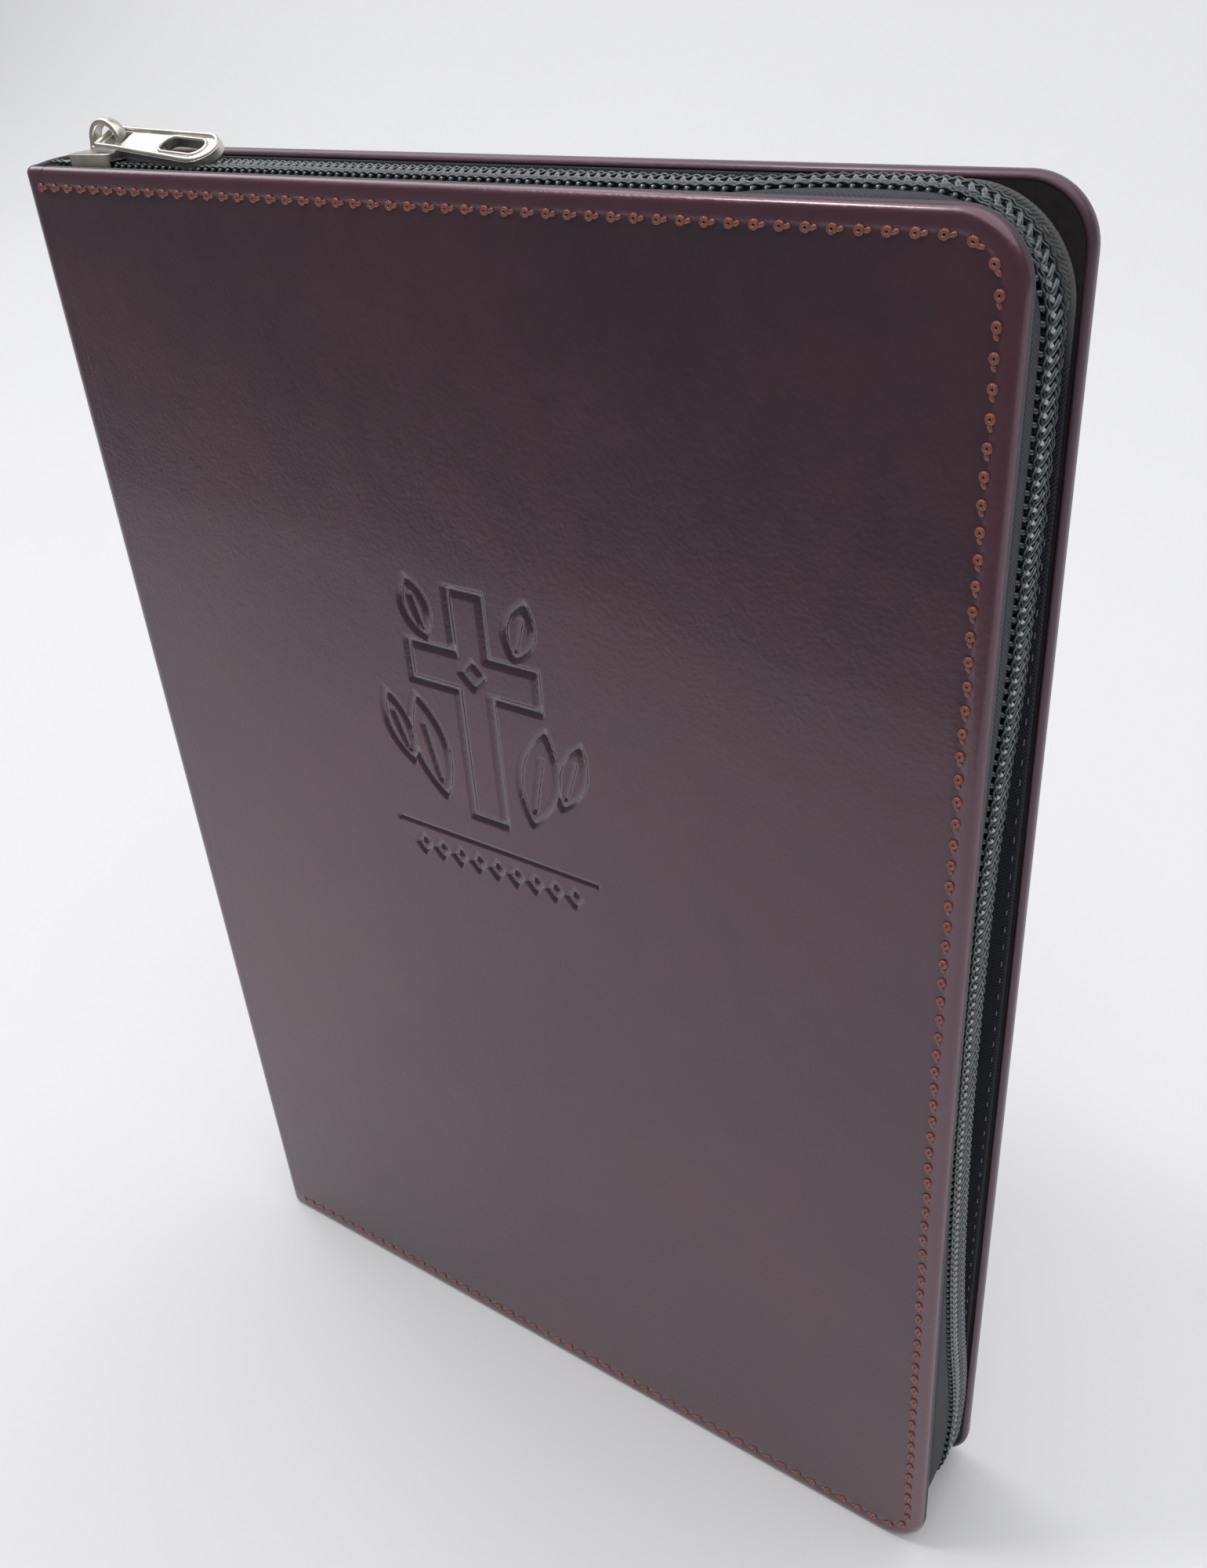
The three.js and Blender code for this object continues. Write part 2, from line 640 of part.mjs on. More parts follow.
// The pull is drawn along its own length from its pivot, then laid down towards the fore-edge.
function buildPull() {
  const eyeEnd = BAIL_OUTER + PULL_EYE_GAP;
  const back = -PULL_BAR;
  const tip = PULL_LENGTH - PULL_BAR;
  const round = PULL_END_HALF;
  const outline = new THREE.Shape();
  outline.moveTo(back, -PULL_EYE_HALF);
  outline.lineTo(eyeEnd, -PULL_EYE_HALF);
  outline.lineTo(tip - round, -PULL_END_HALF);
  outline.absarc(tip - round, 0, round, -Math.PI / 2, Math.PI / 2);
  outline.lineTo(eyeEnd, PULL_EYE_HALF);
  outline.lineTo(back, PULL_EYE_HALF);
  outline.closePath();
  const hole = (x0, x1, half) => {
    const path = new THREE.Path();
    path.absarc(x0 + half, 0, half, Math.PI / 2, 1.5 * Math.PI);
    path.absarc(x1 - half, 0, half, -Math.PI / 2, Math.PI / 2);
    path.closePath();
    return path;
  };
  const eyeHalf = PULL_EYE_HALF - PULL_EYE_RAIL;
  const eye = new THREE.Path();
  eye.moveTo(PULL_BAR, -eyeHalf);
  eye.lineTo(PULL_BAR, eyeHalf);
  eye.lineTo(eyeEnd, eyeHalf);
  eye.lineTo(eyeEnd, -eyeHalf);
  eye.closePath();
  const windowEnd = tip - PULL_WINDOW_END;
  outline.holes.push(eye, hole(windowEnd - PULL_WINDOW_LENGTH, windowEnd, PULL_WINDOW_HALF));
  const geometry = new THREE.ExtrudeGeometry(outline, {
    depth: PULL_THICKNESS,
    bevelEnabled: false,
    curveSegments: 6,
  }).translate(0, 0, -PULL_THICKNESS / 2);
  const pull = addPiece("zip_pull", geometry, nickelFinish());
  pull.rotation.y = PULL_TILT;
  pull.position.set(PIVOT_X, CHAIN_RUN_Y, PIVOT_Z);
}

// ---- Assembly -----------------------------------------------------------------------------
for (const [side, prefix] of [
  [-1, "front"],
  [1, "rear"],
]) {
  buildCover(side, prefix);
  buildSpineSkin(side, prefix);
  buildHalfBlock(side, prefix);
  buildZipHalf(side, prefix);
}
buildBack();
buildRibbon();
buildZipStop();
buildSlider();
buildPull();

export default book;
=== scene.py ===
"""Looks of a zip-closed devotional book: leather case, seams, coil zip, text block and stage.

Lengths in the shape functions are millimetres in the frame's own axes (X from the spine to the
fore-edge, Y from the front cover to the rear cover, Z from the tail to the head); add_mesh turns
them into metres.
"""

import json
import math

import bmesh
import bpy
import numpy as np
from bpy.props import FloatProperty, FloatVectorProperty, PointerProperty
from mathutils import Matrix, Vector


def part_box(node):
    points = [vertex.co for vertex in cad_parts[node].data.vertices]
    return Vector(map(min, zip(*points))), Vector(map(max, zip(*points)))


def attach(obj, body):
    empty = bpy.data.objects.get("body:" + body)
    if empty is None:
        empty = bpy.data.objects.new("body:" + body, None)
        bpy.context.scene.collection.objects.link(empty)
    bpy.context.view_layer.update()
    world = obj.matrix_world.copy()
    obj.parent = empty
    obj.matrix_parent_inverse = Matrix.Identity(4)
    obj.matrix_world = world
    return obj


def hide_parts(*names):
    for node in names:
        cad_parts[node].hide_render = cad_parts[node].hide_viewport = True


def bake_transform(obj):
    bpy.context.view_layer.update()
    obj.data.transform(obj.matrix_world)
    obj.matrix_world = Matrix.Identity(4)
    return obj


bl_info = {
    "name": "Zip-closed devotional book",
    "version": (1, 0, 0),
    "blender": (4, 5, 0),
    "location": "3D View > Sidebar > Book",
    "description": "Builds the case, seams, zip, text block and stage round the packed frame",
    "category": "Add Mesh",
}

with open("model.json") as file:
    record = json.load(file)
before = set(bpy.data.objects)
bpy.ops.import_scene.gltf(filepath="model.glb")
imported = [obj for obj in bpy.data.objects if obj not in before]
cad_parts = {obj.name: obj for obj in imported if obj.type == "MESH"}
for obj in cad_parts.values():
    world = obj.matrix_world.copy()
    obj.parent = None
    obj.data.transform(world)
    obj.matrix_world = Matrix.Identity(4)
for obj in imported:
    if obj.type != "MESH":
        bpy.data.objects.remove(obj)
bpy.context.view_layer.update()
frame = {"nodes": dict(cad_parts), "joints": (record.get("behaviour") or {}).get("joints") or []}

MM = 0.001
SIDES = ((-1, "front"), (1, "rear"))


def box_mm(node):
    """A frame node's lowest and highest corners in millimetres."""
    return tuple(np.array(corner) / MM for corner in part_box(node))


# Places taken from the frame
SKIN_LOW, SKIN_HIGH = box_mm("front_cover_skin")
FOLD_X, FORE_X, HEIGHT = SKIN_LOW[0], SKIN_HIGH[0], SKIN_HIGH[2]
OUTER, INNER = -SKIN_LOW[1], -SKIN_HIGH[1]
COVER = OUTER - INNER
SPINE_LOW = box_mm("rear_spine_skin")[0]
COIL_LOW, COIL_HIGH = box_mm("rear_zip_coil")
COIL_TOP = 0.95
CHAIN_HEAD, CHAIN_FORE, CHAIN_TAIL = (
    COIL_HIGH[2] - COIL_TOP,
    COIL_HIGH[0] - COIL_TOP,
    COIL_LOW[2] + COIL_TOP,
)
CHAIN_CORNER = 13.0
CHAIN_PATH = (CHAIN_FORE, CHAIN_HEAD, CHAIN_TAIL, CHAIN_CORNER)
CHAIN_HALF = 3.2
CHAIN_START = COIL_LOW[0]
CHAIN_END = -67.2
TAPE_START = FOLD_X + 0.7
STRIP_EDGE = FOLD_X + 2.0  # the spine's leather ends here on each cover
CORNER_RADIUS = 8.0
SEAM_INSET = 2.8
SEAM_VALLEY = 0.17  # how deep the seam draws the leather in
LEATHER = 0.85
EDGE_ROUND, EDGE_INNER_ROUND = 1.2, 0.9
ORNAMENT_X, ORNAMENT_Z = (-20, 23), (116.5, 168)  # where the cover's lines lie close
SLIDER_TOP = 221.6
COIL_LEAN = 0.62  # how far a turn's head lies ahead of its foot, in pitches
RUN_Y = -3.4
# The chain's Y: against the distance from the fore-edge along the head, and against the share
# of the height down the fore-edge.
HEAD_WANDER = (
    (57, RUN_Y), (45, RUN_Y), (39, -3.8), (35, -3.0), (30, -0.8), (26, 1.0), (20, 1.4), (14.2, 0.1),
)  # fmt: skip
FORE_WANDER = (
    (0.93, -1.0), (0.9, -0.7), (0.86, -1.2), (0.8, -1.6), (0.75, -2.2), (0.7, -4.4), (0.64, -6.2), (0.55, -6.9),
    (0.45, -6.7), (0.36, -5.4), (0.29, -3.8), (0.21, -0.9), (0.145, 2.5), (0.1, 3.8), (0.07, 2.6),
)  # fmt: skip
TAIL_Y = -2.0
PIVOT = np.array(next(j for j in frame["joints"] if j["name"] == "pull_swing")["pos_m"]) / MM
PULL_LENGTH, PULL_TIP, PULL_EYE_END = 23.5, 22.7, 4.2
PULL_END_HALF = 3.4
PULL_OVER_COIL = 0.85
PULL_TILT = math.asin((PIVOT[2] - CHAIN_HEAD - COIL_TOP - PULL_OVER_COIL) / PULL_LENGTH)
PULL_LIE = (math.radians(3.6), math.radians(24.0))  # the pull's tilt and roll as it rests


# ---- Settings --------------------------------------------------------------------------------
def colour(name, description, default):
    return FloatVectorProperty(
        name=name, description=description, subtype="COLOR", size=3, min=0.0, max=1.0, default=default
    )


def length(name, description, default):
    return FloatProperty(name=name, description=description, default=default, unit="LENGTH", min=0.0)


class CaseSettings(bpy.types.PropertyGroup):
    """Sizes and colours of the leather case."""

    dark: colour("Dark leather", "Colour of the darkest clouds in the leather", (0.021, 0.013, 0.017))
    red: colour("Red leather", "Colour of the warm clouds in the leather", (0.056, 0.017, 0.025))
    margin: colour("Margin", "Colour outside the seam", (0.066, 0.013, 0.024))
    rim: colour("Rim", "Colour of the covers' edge binding", (0.026, 0.028, 0.032))
    thread: colour("Thread", "Colour of the seam thread", (0.27, 0.075, 0.055))
    bow: length("Bow", "How far the front cover bows out at the middle of its fore-edge", 0.0022)
    press: length("Pressing depth", "Depth of the pressed ornament", 0.00042)
    pitch: length("Stitch pitch", "Length of one stitch", 0.003)
    grain: FloatProperty(name="Grain", description="Grains per metre", default=1500.0, min=1.0)


class ZipSettings(bpy.types.PropertyGroup):
    """Sizes and colours of the zip."""

    pitch: length("Coil pitch", "Length of one turn of the coil", 0.00147)
    filament: length("Filament radius", "Radius of the coil's filament", 0.00036)
    tape: length("Tape thickness", "Thickness of the woven tape", 0.0005)
    coil: colour("Coil", "Colour of the coil", (0.020, 0.038, 0.043))
    cloth: colour("Tape", "Colour of the tape", (0.026, 0.029, 0.036))
    metal: colour("Metal", "Colour of the slider and the pull", (0.80, 0.77, 0.70))


class BlockSettings(bpy.types.PropertyGroup):
    """Colours of the text block and the linings."""

    paper: colour("Paper", "Colour of the pages", (0.76, 0.71, 0.60))
    lining: colour("Lining", "Colour of the covers' lining", (0.022, 0.016, 0.018))
    ribbon: colour("Ribbon", "Colour of the ribbon marker", (0.20, 0.010, 0.022))
    band: colour("Bands", "Colour of the head and tail bands", (0.24, 0.03, 0.04))


class StageSettings(bpy.types.PropertyGroup):
    """Floor, backdrop and light."""

    floor: colour("Floor", "Colour of the floor and the backdrop", (0.80, 0.80, 0.815))
    power: FloatProperty(name="Light", description="Power of the main light in watts", default=46.0, min=0.0)
    room: FloatProperty(name="Room light", description="Strength of the light from the room", default=0.22, min=0.0)


SETTINGS = {
    "book_case": CaseSettings,
    "book_zip": ZipSettings,
    "book_block": BlockSettings,
    "book_stage": StageSettings,
}


# ---- Shader wiring ---------------------------------------------------------------------------
class Socket:
    """A node's output. Arithmetic on it adds Math nodes to the same tree."""

    def __init__(self, tree, output):
        self.tree = tree
        self.output = output

    def node(self, kind, settings=None, inputs=None, out=0):
        """Adds a node: its settings first, then its sockets' values or links. Returns one output."""
        made = self.tree.nodes.new("ShaderNode" + kind)
        for name, value in (settings or {}).items():
            setattr(made, name, value)
        for name, value in (inputs or {}).items():
            if isinstance(value, Socket):
                self.tree.links.new(value.output, made.inputs[name])
            else:
                made.inputs[name].default_value = value
        return Socket(self.tree, made.outputs[out])

    def math(self, operation, *values):
        return self.node("Math", {"operation": operation}, dict(enumerate(values)))

    def __add__(self, other):
        return self.math("ADD", self, other)

    __radd__ = __add__

    def __sub__(self, other):
        return self.math("SUBTRACT", self, other)

    def __mul__(self, other):
        return self.math("MULTIPLY", self, other)

    __rmul__ = __mul__

    def sine(self):
        return self.math("SINE", self)

    def step(self, low, high):
        """0 below low, 1 above high, and smooth between them."""
        return self.node(
            "MapRange",
            {"interpolation_type": "SMOOTHSTEP"},
            {"Value": self, "From Min": low, "From Max": high},
        )


class Finish(Socket):
    """A material: its tree's places, and its shader's sockets."""

    def __init__(self, name, **constants):
        self.material = bpy.data.materials.new("worked_" + name)
        self.material.use_nodes = True
        self.tree = self.material.node_tree
        self.shader = self.tree.nodes["Principled BSDF"]
        for socket, value in constants.items():
            self.shader.inputs[socket.replace("_", " ")].default_value = value

    def place(self):
        return self.node("TexCoord", out="Object")

    def attribute(self, name):
        return self.node("Attribute", {"attribute_name": name}, out="Fac")

    def noise(self, scale, detail=3.0, roughness=0.55, stretch=None):
        where = self.place()
        if stretch:
            where = self.node("Mapping", None, {"Vector": where, "Scale": stretch})
        return self.node(
            "TexNoise", None, {"Vector": where, "Scale": scale, "Detail": detail, "Roughness": roughness}
        )

    def axis(self, index):
        return self.node("SeparateXYZ", None, {0: self.place()}, out=index)

    def mix(self, share, a, b):
        """Colour a where share is 0, and b where it is 1."""
        pair = {0: share}
        for index, value in ((6, a), (7, b)):
            pair[index] = value if isinstance(value, Socket) else (*value, 1.0)
        return self.node("Mix", {"data_type": "RGBA"}, pair, out=2)

    def feed(self, socket, value):
        self.tree.links.new(value.output, self.shader.inputs[socket])

    def bump(self, height, distance, strength=1.0, under=None):
        inputs = {"Height": height, "Distance": distance, "Strength": strength}
        if under is not None:
            inputs["Normal"] = under
        return self.node("Bump", None, inputs)


def leather_finish():
    """Clouds of dark and red leather, a redder margin, a grey rim, fine grain and glossy pressings."""
    case = bpy.context.scene.book_case
    made = Finish("case_leather", Coat_Roughness=0.1, Specular_IOR_Level=1.0, Specular_Tint=(1.0, 0.72, 0.85, 1.0))
    clouds = made.noise(17.0, 4.0, 0.6)
    specks = made.noise(95.0, 5.0, 0.65)
    veins = made.noise(330.0, 3.0, 0.6)
    warm = (clouds * 0.72 + specks * 0.2 + veins * 0.08).step(0.40, 0.66)
    base = made.mix(warm, case.dark, case.red)
    base = made.mix(made.attribute("margin") * 0.75, base, case.margin)
    pressed = made.attribute("pressed")
    base = made.mix(pressed * 0.8, base, [c * 0.45 for c in case.dark])
    rim = made.attribute("rim")
    made.feed("Base Color", made.mix(rim, base, case.rim))
    grain = made.node(
        "TexVoronoi", {"feature": "SMOOTH_F1"}, {"Vector": made.place(), "Scale": case.grain, "Smoothness": 0.6}
    )
    rough = 0.24 + specks * 0.12 + veins * 0.06 - pressed * 0.14
    made.feed("Roughness", rough + rim * 0.38)
    made.feed("Coat Weight", (rim * -1.0 + 1.0) * (pressed * 0.7 + made.attribute("margin") * 0.3 + 0.25))
    soft = made.bump(clouds * 0.6 + specks, 0.00035, 0.25)
    creases = made.bump(made.noise(700.0, 4.0, 0.7), 0.00006, 0.5, soft)
    made.feed("Normal", made.bump(grain, 0.00004, 0.55, creases))
    return made.material


def plain_finish(name, base, rough, spread=0.3, scale=900.0, distance=0.00004, stretch=None, **constants):
    """A matt surface: its colour varies with two noises, and the finer one raises its bump."""
    made = Finish(name, **constants)
    fine = made.noise(scale, 4.0, 0.65, stretch)
    broad = made.noise(scale / 22.0, 3.0)
    share = (fine * 0.5 + broad * 0.5).step(0.35, 0.65)
    lower = [c * (1.0 - spread) for c in base]
    made.feed("Base Color", made.mix(share, lower, base))
    made.feed("Roughness", rough + fine * 0.12)
    made.feed("Normal", made.bump(fine, distance, 0.7))
    return made.material


def page_finish():
    """Paper whose edges show leaf after leaf: fine lines across the block's thickness."""
    base = bpy.context.scene.book_block.paper
    made = Finish("bible_paper")
    leaves = (made.axis(1) * (2 * math.pi / 0.00011)).sine() * 0.5 + 0.5
    wander = made.noise(260.0, 3.0, stretch=(1.0, 8.0, 1.0))
    made.feed("Base Color", made.mix((leaves * 0.55 + wander * 0.45).step(0.25, 0.8), [c * 0.72 for c in base], base))
    made.feed("Roughness", 0.78 + wander * 0.12)
    made.feed("Normal", made.bump(leaves * 0.6 + wander, 0.00004, 0.6))
    return made.material


def tape_finish():
    """Herringbone: diagonal threads that change direction every 1.6 mm across the tape, and a painted highlight in
    pale grey on a marked patch.
    """
    base = bpy.context.scene.book_zip.cloth
    made = Finish("zip_tape", Specular_IOR_Level=0.3)
    flat = made.node("UVMap", {"uv_map": "weave"})
    along = made.node("SeparateXYZ", None, {0: flat}, out=0)
    across = made.node("SeparateXYZ", None, {0: flat}, out=1)
    turned = across.math("PINGPONG", across, 0.8)
    threads = ((along + turned * 1.1) * (2 * math.pi / 0.62)).sine() * 0.5 + 0.5
    wear = made.noise(500.0, 3.0)
    woven = made.mix(threads * 0.7 + wear * 0.3, [c * 0.4 for c in base], [c * 1.7 for c in base])
    # Painted highlight: the marked patch round the rear tape's head corner is blended to pale grey for the light that
    # falls there; the noise only breaks it up.
    made.feed("Base Color", made.mix(made.attribute("worn") * (wear * 0.5 + 0.5), woven, (0.17, 0.175, 0.17)))
    made.feed("Roughness", 0.62 + wear * 0.2 - threads * 0.12)
    made.feed("Normal", made.bump(threads, 0.00007, 0.6))
    return made.material


def coil_finish():
    base = bpy.context.scene.book_zip.coil
    made = Finish("zip_coil", Coat_Weight=1.0, Coat_Roughness=0.06)
    wear = made.noise(420.0, 3.0)
    made.feed("Base Color", made.mix(wear.step(0.4, 0.65), [c * 0.7 for c in base], [c * 1.5 for c in base]))
    made.feed("Roughness", 0.24 + wear * 0.14)
    made.feed("Normal", made.bump(made.noise(2600.0, 2.0), 0.00002, 0.3))
    return made.material


def thread_finish(name, base, rough):
    """Twisted thread: fine slanting strands."""
    made = Finish(name, Coat_Weight=0.8, Coat_Roughness=0.12)
    strands = ((made.axis(0) + made.axis(2) * 0.8 + made.axis(1) * 0.6) * (2 * math.pi / 0.00022)).sine() * 0.5 + 0.5
    worn = made.noise(240.0, 3.0)
    made.feed("Base Color", made.mix(strands * 0.4 + worn * 0.6, [c * 0.45 for c in base], [c * 1.25 for c in base]))
    made.feed("Roughness", rough + worn * 0.12)
    made.feed("Normal", made.bump(strands, 0.00004, 0.6))
    return made.material


def metal_finish():
    """Satin nickel with fine scratches along the pull and dull worn patches."""
    base = bpy.context.scene.book_zip.metal
    made = Finish("nickel", Metallic=1.0)
    brushed = made.noise(900.0, 3.0, stretch=(0.15, 1.0, 1.0))
    patches = made.noise(300.0, 4.0)
    made.feed("Base Color", made.mix(patches.step(0.35, 0.7), [c * 0.78 for c in base], base))
    made.feed("Roughness", 0.26 + brushed * 0.12 + patches.step(0.5, 0.75) * 0.1)
    made.feed("Normal", made.bump(brushed, 0.00002, 0.35))
    return made.material


def cloth_finish(name, base, pitch, rough, contrast=0.5, **constants):
    """Plain weave: two sets of threads that cross, by the piece's own place."""
    made = Finish(name, **constants)
    turn = 2 * math.pi / pitch
    warp = ((made.axis(0) + made.axis(1)) * turn).sine()
    weft = ((made.axis(2) - made.axis(1) * 0.3) * turn).sine()
    weave = warp * weft * 0.5 + 0.5
    wear = made.noise(200.0, 3.0)
    made.feed("Base Color", made.mix(weave * 0.6 + wear * 0.4, [c * (1.0 - contrast) for c in base], base))
    made.feed("Roughness", rough + wear * 0.1)
    made.feed("Normal", made.bump(weave, pitch * 0.12, 0.6))
    return made.material


def band_finish():
    """Head band: silk threads wound in two colours across it."""
    base = bpy.context.scene.book_block.band
    made = Finish("band_cloth", Sheen_Weight=0.3)
    stripes = (made.axis(1) * (2 * math.pi / 0.0016)).sine().step(-0.2, 0.2)
    threads = (made.axis(1) * (2 * math.pi / 0.0004)).sine() * 0.5 + 0.5
    made.feed("Base Color", made.mix(stripes, base, (0.62, 0.56, 0.44)))
    made.feed("Roughness", 0.5 + threads * 0.15)
    made.feed("Normal", made.bump(threads, 0.00008, 0.8))
    return made.material


FINISHES = {
    "case_leather": leather_finish,
    "cover_board": lambda: plain_finish("cover_board", (0.25, 0.22, 0.19), 0.8, 0.35, 700.0),
    "cover_lining": lambda: plain_finish("cover_lining", bpy.context.scene.book_block.lining, 0.5, 0.5, 1100.0),
    "endpaper": lambda: plain_finish("endpaper", (0.70, 0.65, 0.55), 0.75, 0.12, 800.0, 0.00002),
    "seam_thread": lambda: thread_finish("seam_thread", bpy.context.scene.book_case.thread, 0.3),
    # Near-black colour for the needle holes: painted shade standing for the dark inside each hole.
    "needle_hole_shade": lambda: plain_finish("needle_hole_shade", (0.006, 0.003, 0.004), 0.5, 0.5, 900.0),
    "tape_thread": lambda: thread_finish("tape_thread", (0.17, 0.17, 0.19), 0.5),
    "coil_thread": lambda: thread_finish("coil_thread", (0.030, 0.045, 0.048), 0.4),
    "zip_tape": tape_finish,
    "zip_coil": coil_finish,
    "bible_paper": page_finish,
    "spine_lining": lambda: cloth_finish("spine_lining", (0.62, 0.56, 0.45), 0.0012, 0.85),
    "band_cloth": band_finish,
    "ribbon": lambda: cloth_finish(
        "ribbon", bpy.context.scene.book_block.ribbon, 0.0005, 0.3, 0.35, Sheen_Weight=0.4, Anisotropic=0.5
    ),
    "nickel": metal_finish,
}


def finish_of(name):
    """The material of that name, made the first time it is asked for."""
    return bpy.data.materials.get("worked_" + name) or FINISHES[name]()


# ---- Mesh making -----------------------------------------------------------------------------
def add_object(name, data):
    made = bpy.data.objects.new(name, data)
    bpy.context.scene.collection.objects.link(made)
    return made


def add_mesh(name, points, faces, body=None, material=None, sharp=35.0, outward=None, replaces=()):
    """A piece from points in millimetres. Its faces are turned to point along outward, or, where
    that isn't given, so that the volume they close is positive."""
    points = np.asarray(points, float).reshape(-1, 3)
    faces = faces.tolist() if isinstance(faces, np.ndarray) else faces
    corners = np.array([face[:3] for face in faces])
    a, b, c = (points[corners[:, i]] for i in range(3))
    normals = np.cross(b - a, c - a)
    if outward is None:
        facing = np.einsum("ij,ij->", normals, a - points.mean(0))
    else:
        facing = float((normals @ np.asarray(outward, float)).sum())
    if facing < 0:
        faces = [face[::-1] for face in faces]
    mesh = bpy.data.meshes.new(name)
    mesh.from_pydata((points * MM).tolist(), [], faces)
    mesh.validate()
    mesh.shade_smooth()
    mesh.set_sharp_from_angle(angle=math.radians(sharp))
    piece = add_object(name, mesh)
    if material:
        mesh.materials.append(finish_of(material))
    if body:
        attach(piece, body)
    if replaces:
        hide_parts(*replaces)
    return piece


def mark(piece, shape, **marks):
    """Named float attributes on a piece's points, whose values spread over its grid's shape."""
    for name, values in marks.items():
        made = piece.data.attributes.new(name, "FLOAT", "POINT")
        made.data.foreach_set("value", np.broadcast_to(values, shape).astype(np.float32).ravel())


def grid_faces(rows, columns, around=False):
    """Quads of a grid of rows by columns, whose columns may close on themselves."""
    i = np.arange(rows - 1)[:, None]
    j = np.arange(columns if around else columns - 1)[None, :]
    right = (j + 1) % columns
    cells = (i * columns + j, (i + 1) * columns + j, (i + 1) * columns + right, i * columns + right)
    return np.stack(np.broadcast_arrays(*cells), -1).reshape(-1, 4)


def loft_faces(rows, columns):
    """A closed solid through rings: side quads and the two end faces."""
    last = (rows - 1) * columns
    return grid_faces(rows, columns, around=True).tolist() + [
        list(range(columns))[::-1],
        list(range(last, last + columns)),
    ]


def torus_faces(rows, columns):
    """Quads of a grid that closes on itself both ways."""
    i, j = np.arange(rows)[:, None], np.arange(columns)[None, :]
    below, right = (i + 1) % rows, (j + 1) % columns
    cells = (i * columns + j, below * columns + j, below * columns + right, i * columns + right)
    return np.stack(np.broadcast_arrays(*cells), -1).reshape(-1, 4)


def copies_of(shape, faces, origins, along, across, up):
    """One small shape set at many places: local x, y and z go along, across and up there."""
    placed = (
        origins[:, None]
        + shape[None, :, :1] * along[:, None]
        + shape[None, :, 1:2] * across[:, None]
        + shape[None, :, 2:] * up[:, None]
    )
    every = [[i + n * len(shape) for i in face] for n in range(len(origins)) for face in faces]
    return placed.reshape(-1, 3), every


def lobe(half_length, half_width, half_height, rings=4, around=8):
    """An ellipsoid: rings from pole to pole along x, with radius sin and place -cos of the ring's angle."""
    angle = np.linspace(0, math.pi, rings + 2)[1:-1, None]
    turn = np.linspace(0, 2 * math.pi, around, endpoint=False)[None, :]
    x = np.broadcast_to(-np.cos(angle) * half_length, (rings, around))
    points = np.stack(
        (x, np.sin(angle) * np.cos(turn) * half_width, np.sin(angle) * np.sin(turn) * half_height), -1
    ).reshape(-1, 3)
    first, last = rings * around, rings * around + 1
    points = np.vstack((points, ((-half_length, 0, 0), (half_length, 0, 0))))
    faces = grid_faces(rings, around, around=True).tolist()
    faces += [[first, (k + 1) % around, k] for k in range(around)]
    base = (rings - 1) * around
    faces += [[last, base + k, base + (k + 1) % around] for k in range(around)]
    return points, [face[::-1] for face in faces]


def ring_shape(half_length, half_width, thick, around=10, sides=5):
    """A flat oval ring: a small circle carried round an ellipse."""
    turn = np.linspace(0, 2 * math.pi, around, endpoint=False)[:, None]
    small = np.linspace(0, 2 * math.pi, sides, endpoint=False)[None, :]
    reach = np.cos(small) * thick
    points = np.stack(
        (np.cos(turn) * (half_length + reach), np.sin(turn) * (half_width + reach), np.sin(small) * thick + 0 * turn),
        -1,
    ).reshape(-1, 3)
    return points, torus_faces(around, sides).tolist()


def tube(line, radius, steer, sides=6, closed=False):
    """A circle carried along a line. steer is a direction that the line never runs along."""
    ahead = np.roll(line, -1, 0) - np.roll(line, 1, 0) if closed else np.gradient(line, axis=0)
    ahead = unit(ahead)
    first = unit(np.cross(ahead, steer))
    second = np.cross(ahead, first)
    turn = np.linspace(0, 2 * math.pi, sides, endpoint=False)
    ring = first[:, None] * np.cos(turn)[None, :, None] + second[:, None] * np.sin(turn)[None, :, None]
    return line[:, None] + ring * np.reshape(radius, (-1, 1, 1))


def smooth_step(value, low, high):
    share = np.clip((value - low) / (high - low), 0, 1)
    return share * share * (3 - 2 * share)


def margin_at(inset):
    """1 outside the seam and 0 inside it."""
    return 1 - smooth_step(inset, SEAM_INSET - 0.6, SEAM_INSET + 0.2)


def unit(vectors):
    return vectors / np.linalg.norm(vectors, axis=-1)[..., None]


def bow_at(x, z):
    """How far the front cover stands out: grows with the square of the way to the fore-edge, and
    as a half sine over the height."""
    reach = np.clip((x - FOLD_X) / (FORE_X - FOLD_X), 0, 1)
    return -bpy.context.scene.book_case.bow / MM * reach**2 * np.sin(math.pi * np.clip(z / HEIGHT, 0, 1)) ** 1.4


def bowed(points, side):
    """The points, moved with the front cover's bow where side is the front's."""
    if side < 0:
        points = points.copy()
        points[..., 1] += bow_at(points[..., 0], points[..., 2])
    return points


def rounded_run(s, start_x, fore_x, head_z, tail_z, radius):
    """Place and outward direction at length s of a path along the head, round the fore-edge and
    back along the tail: straight runs joined by two quarter circles."""
    head, arc, side = fore_x - radius - start_x, math.pi / 2 * radius, head_z - tail_z - 2 * radius
    a = np.clip(s - head, 0, arc) / radius
    b = np.clip(s - head - arc - side, 0, arc) / radius
    tail = np.maximum(s - head - 2 * arc - side, 0)
    x = start_x + np.clip(s, None, head) + radius * (np.sin(a) + np.cos(b) - 1) - tail
    z = head_z - radius * (1 - np.cos(a)) - np.clip(s - head - arc, 0, side) - radius * np.sin(b)
    return x, z, np.sin(a + b), np.cos(a + b)


def run_length(start_x, end_x, fore_x, head_z, tail_z, radius):
    return 2 * fore_x - start_x - end_x - 4 * radius + math.pi * radius + head_z - tail_z


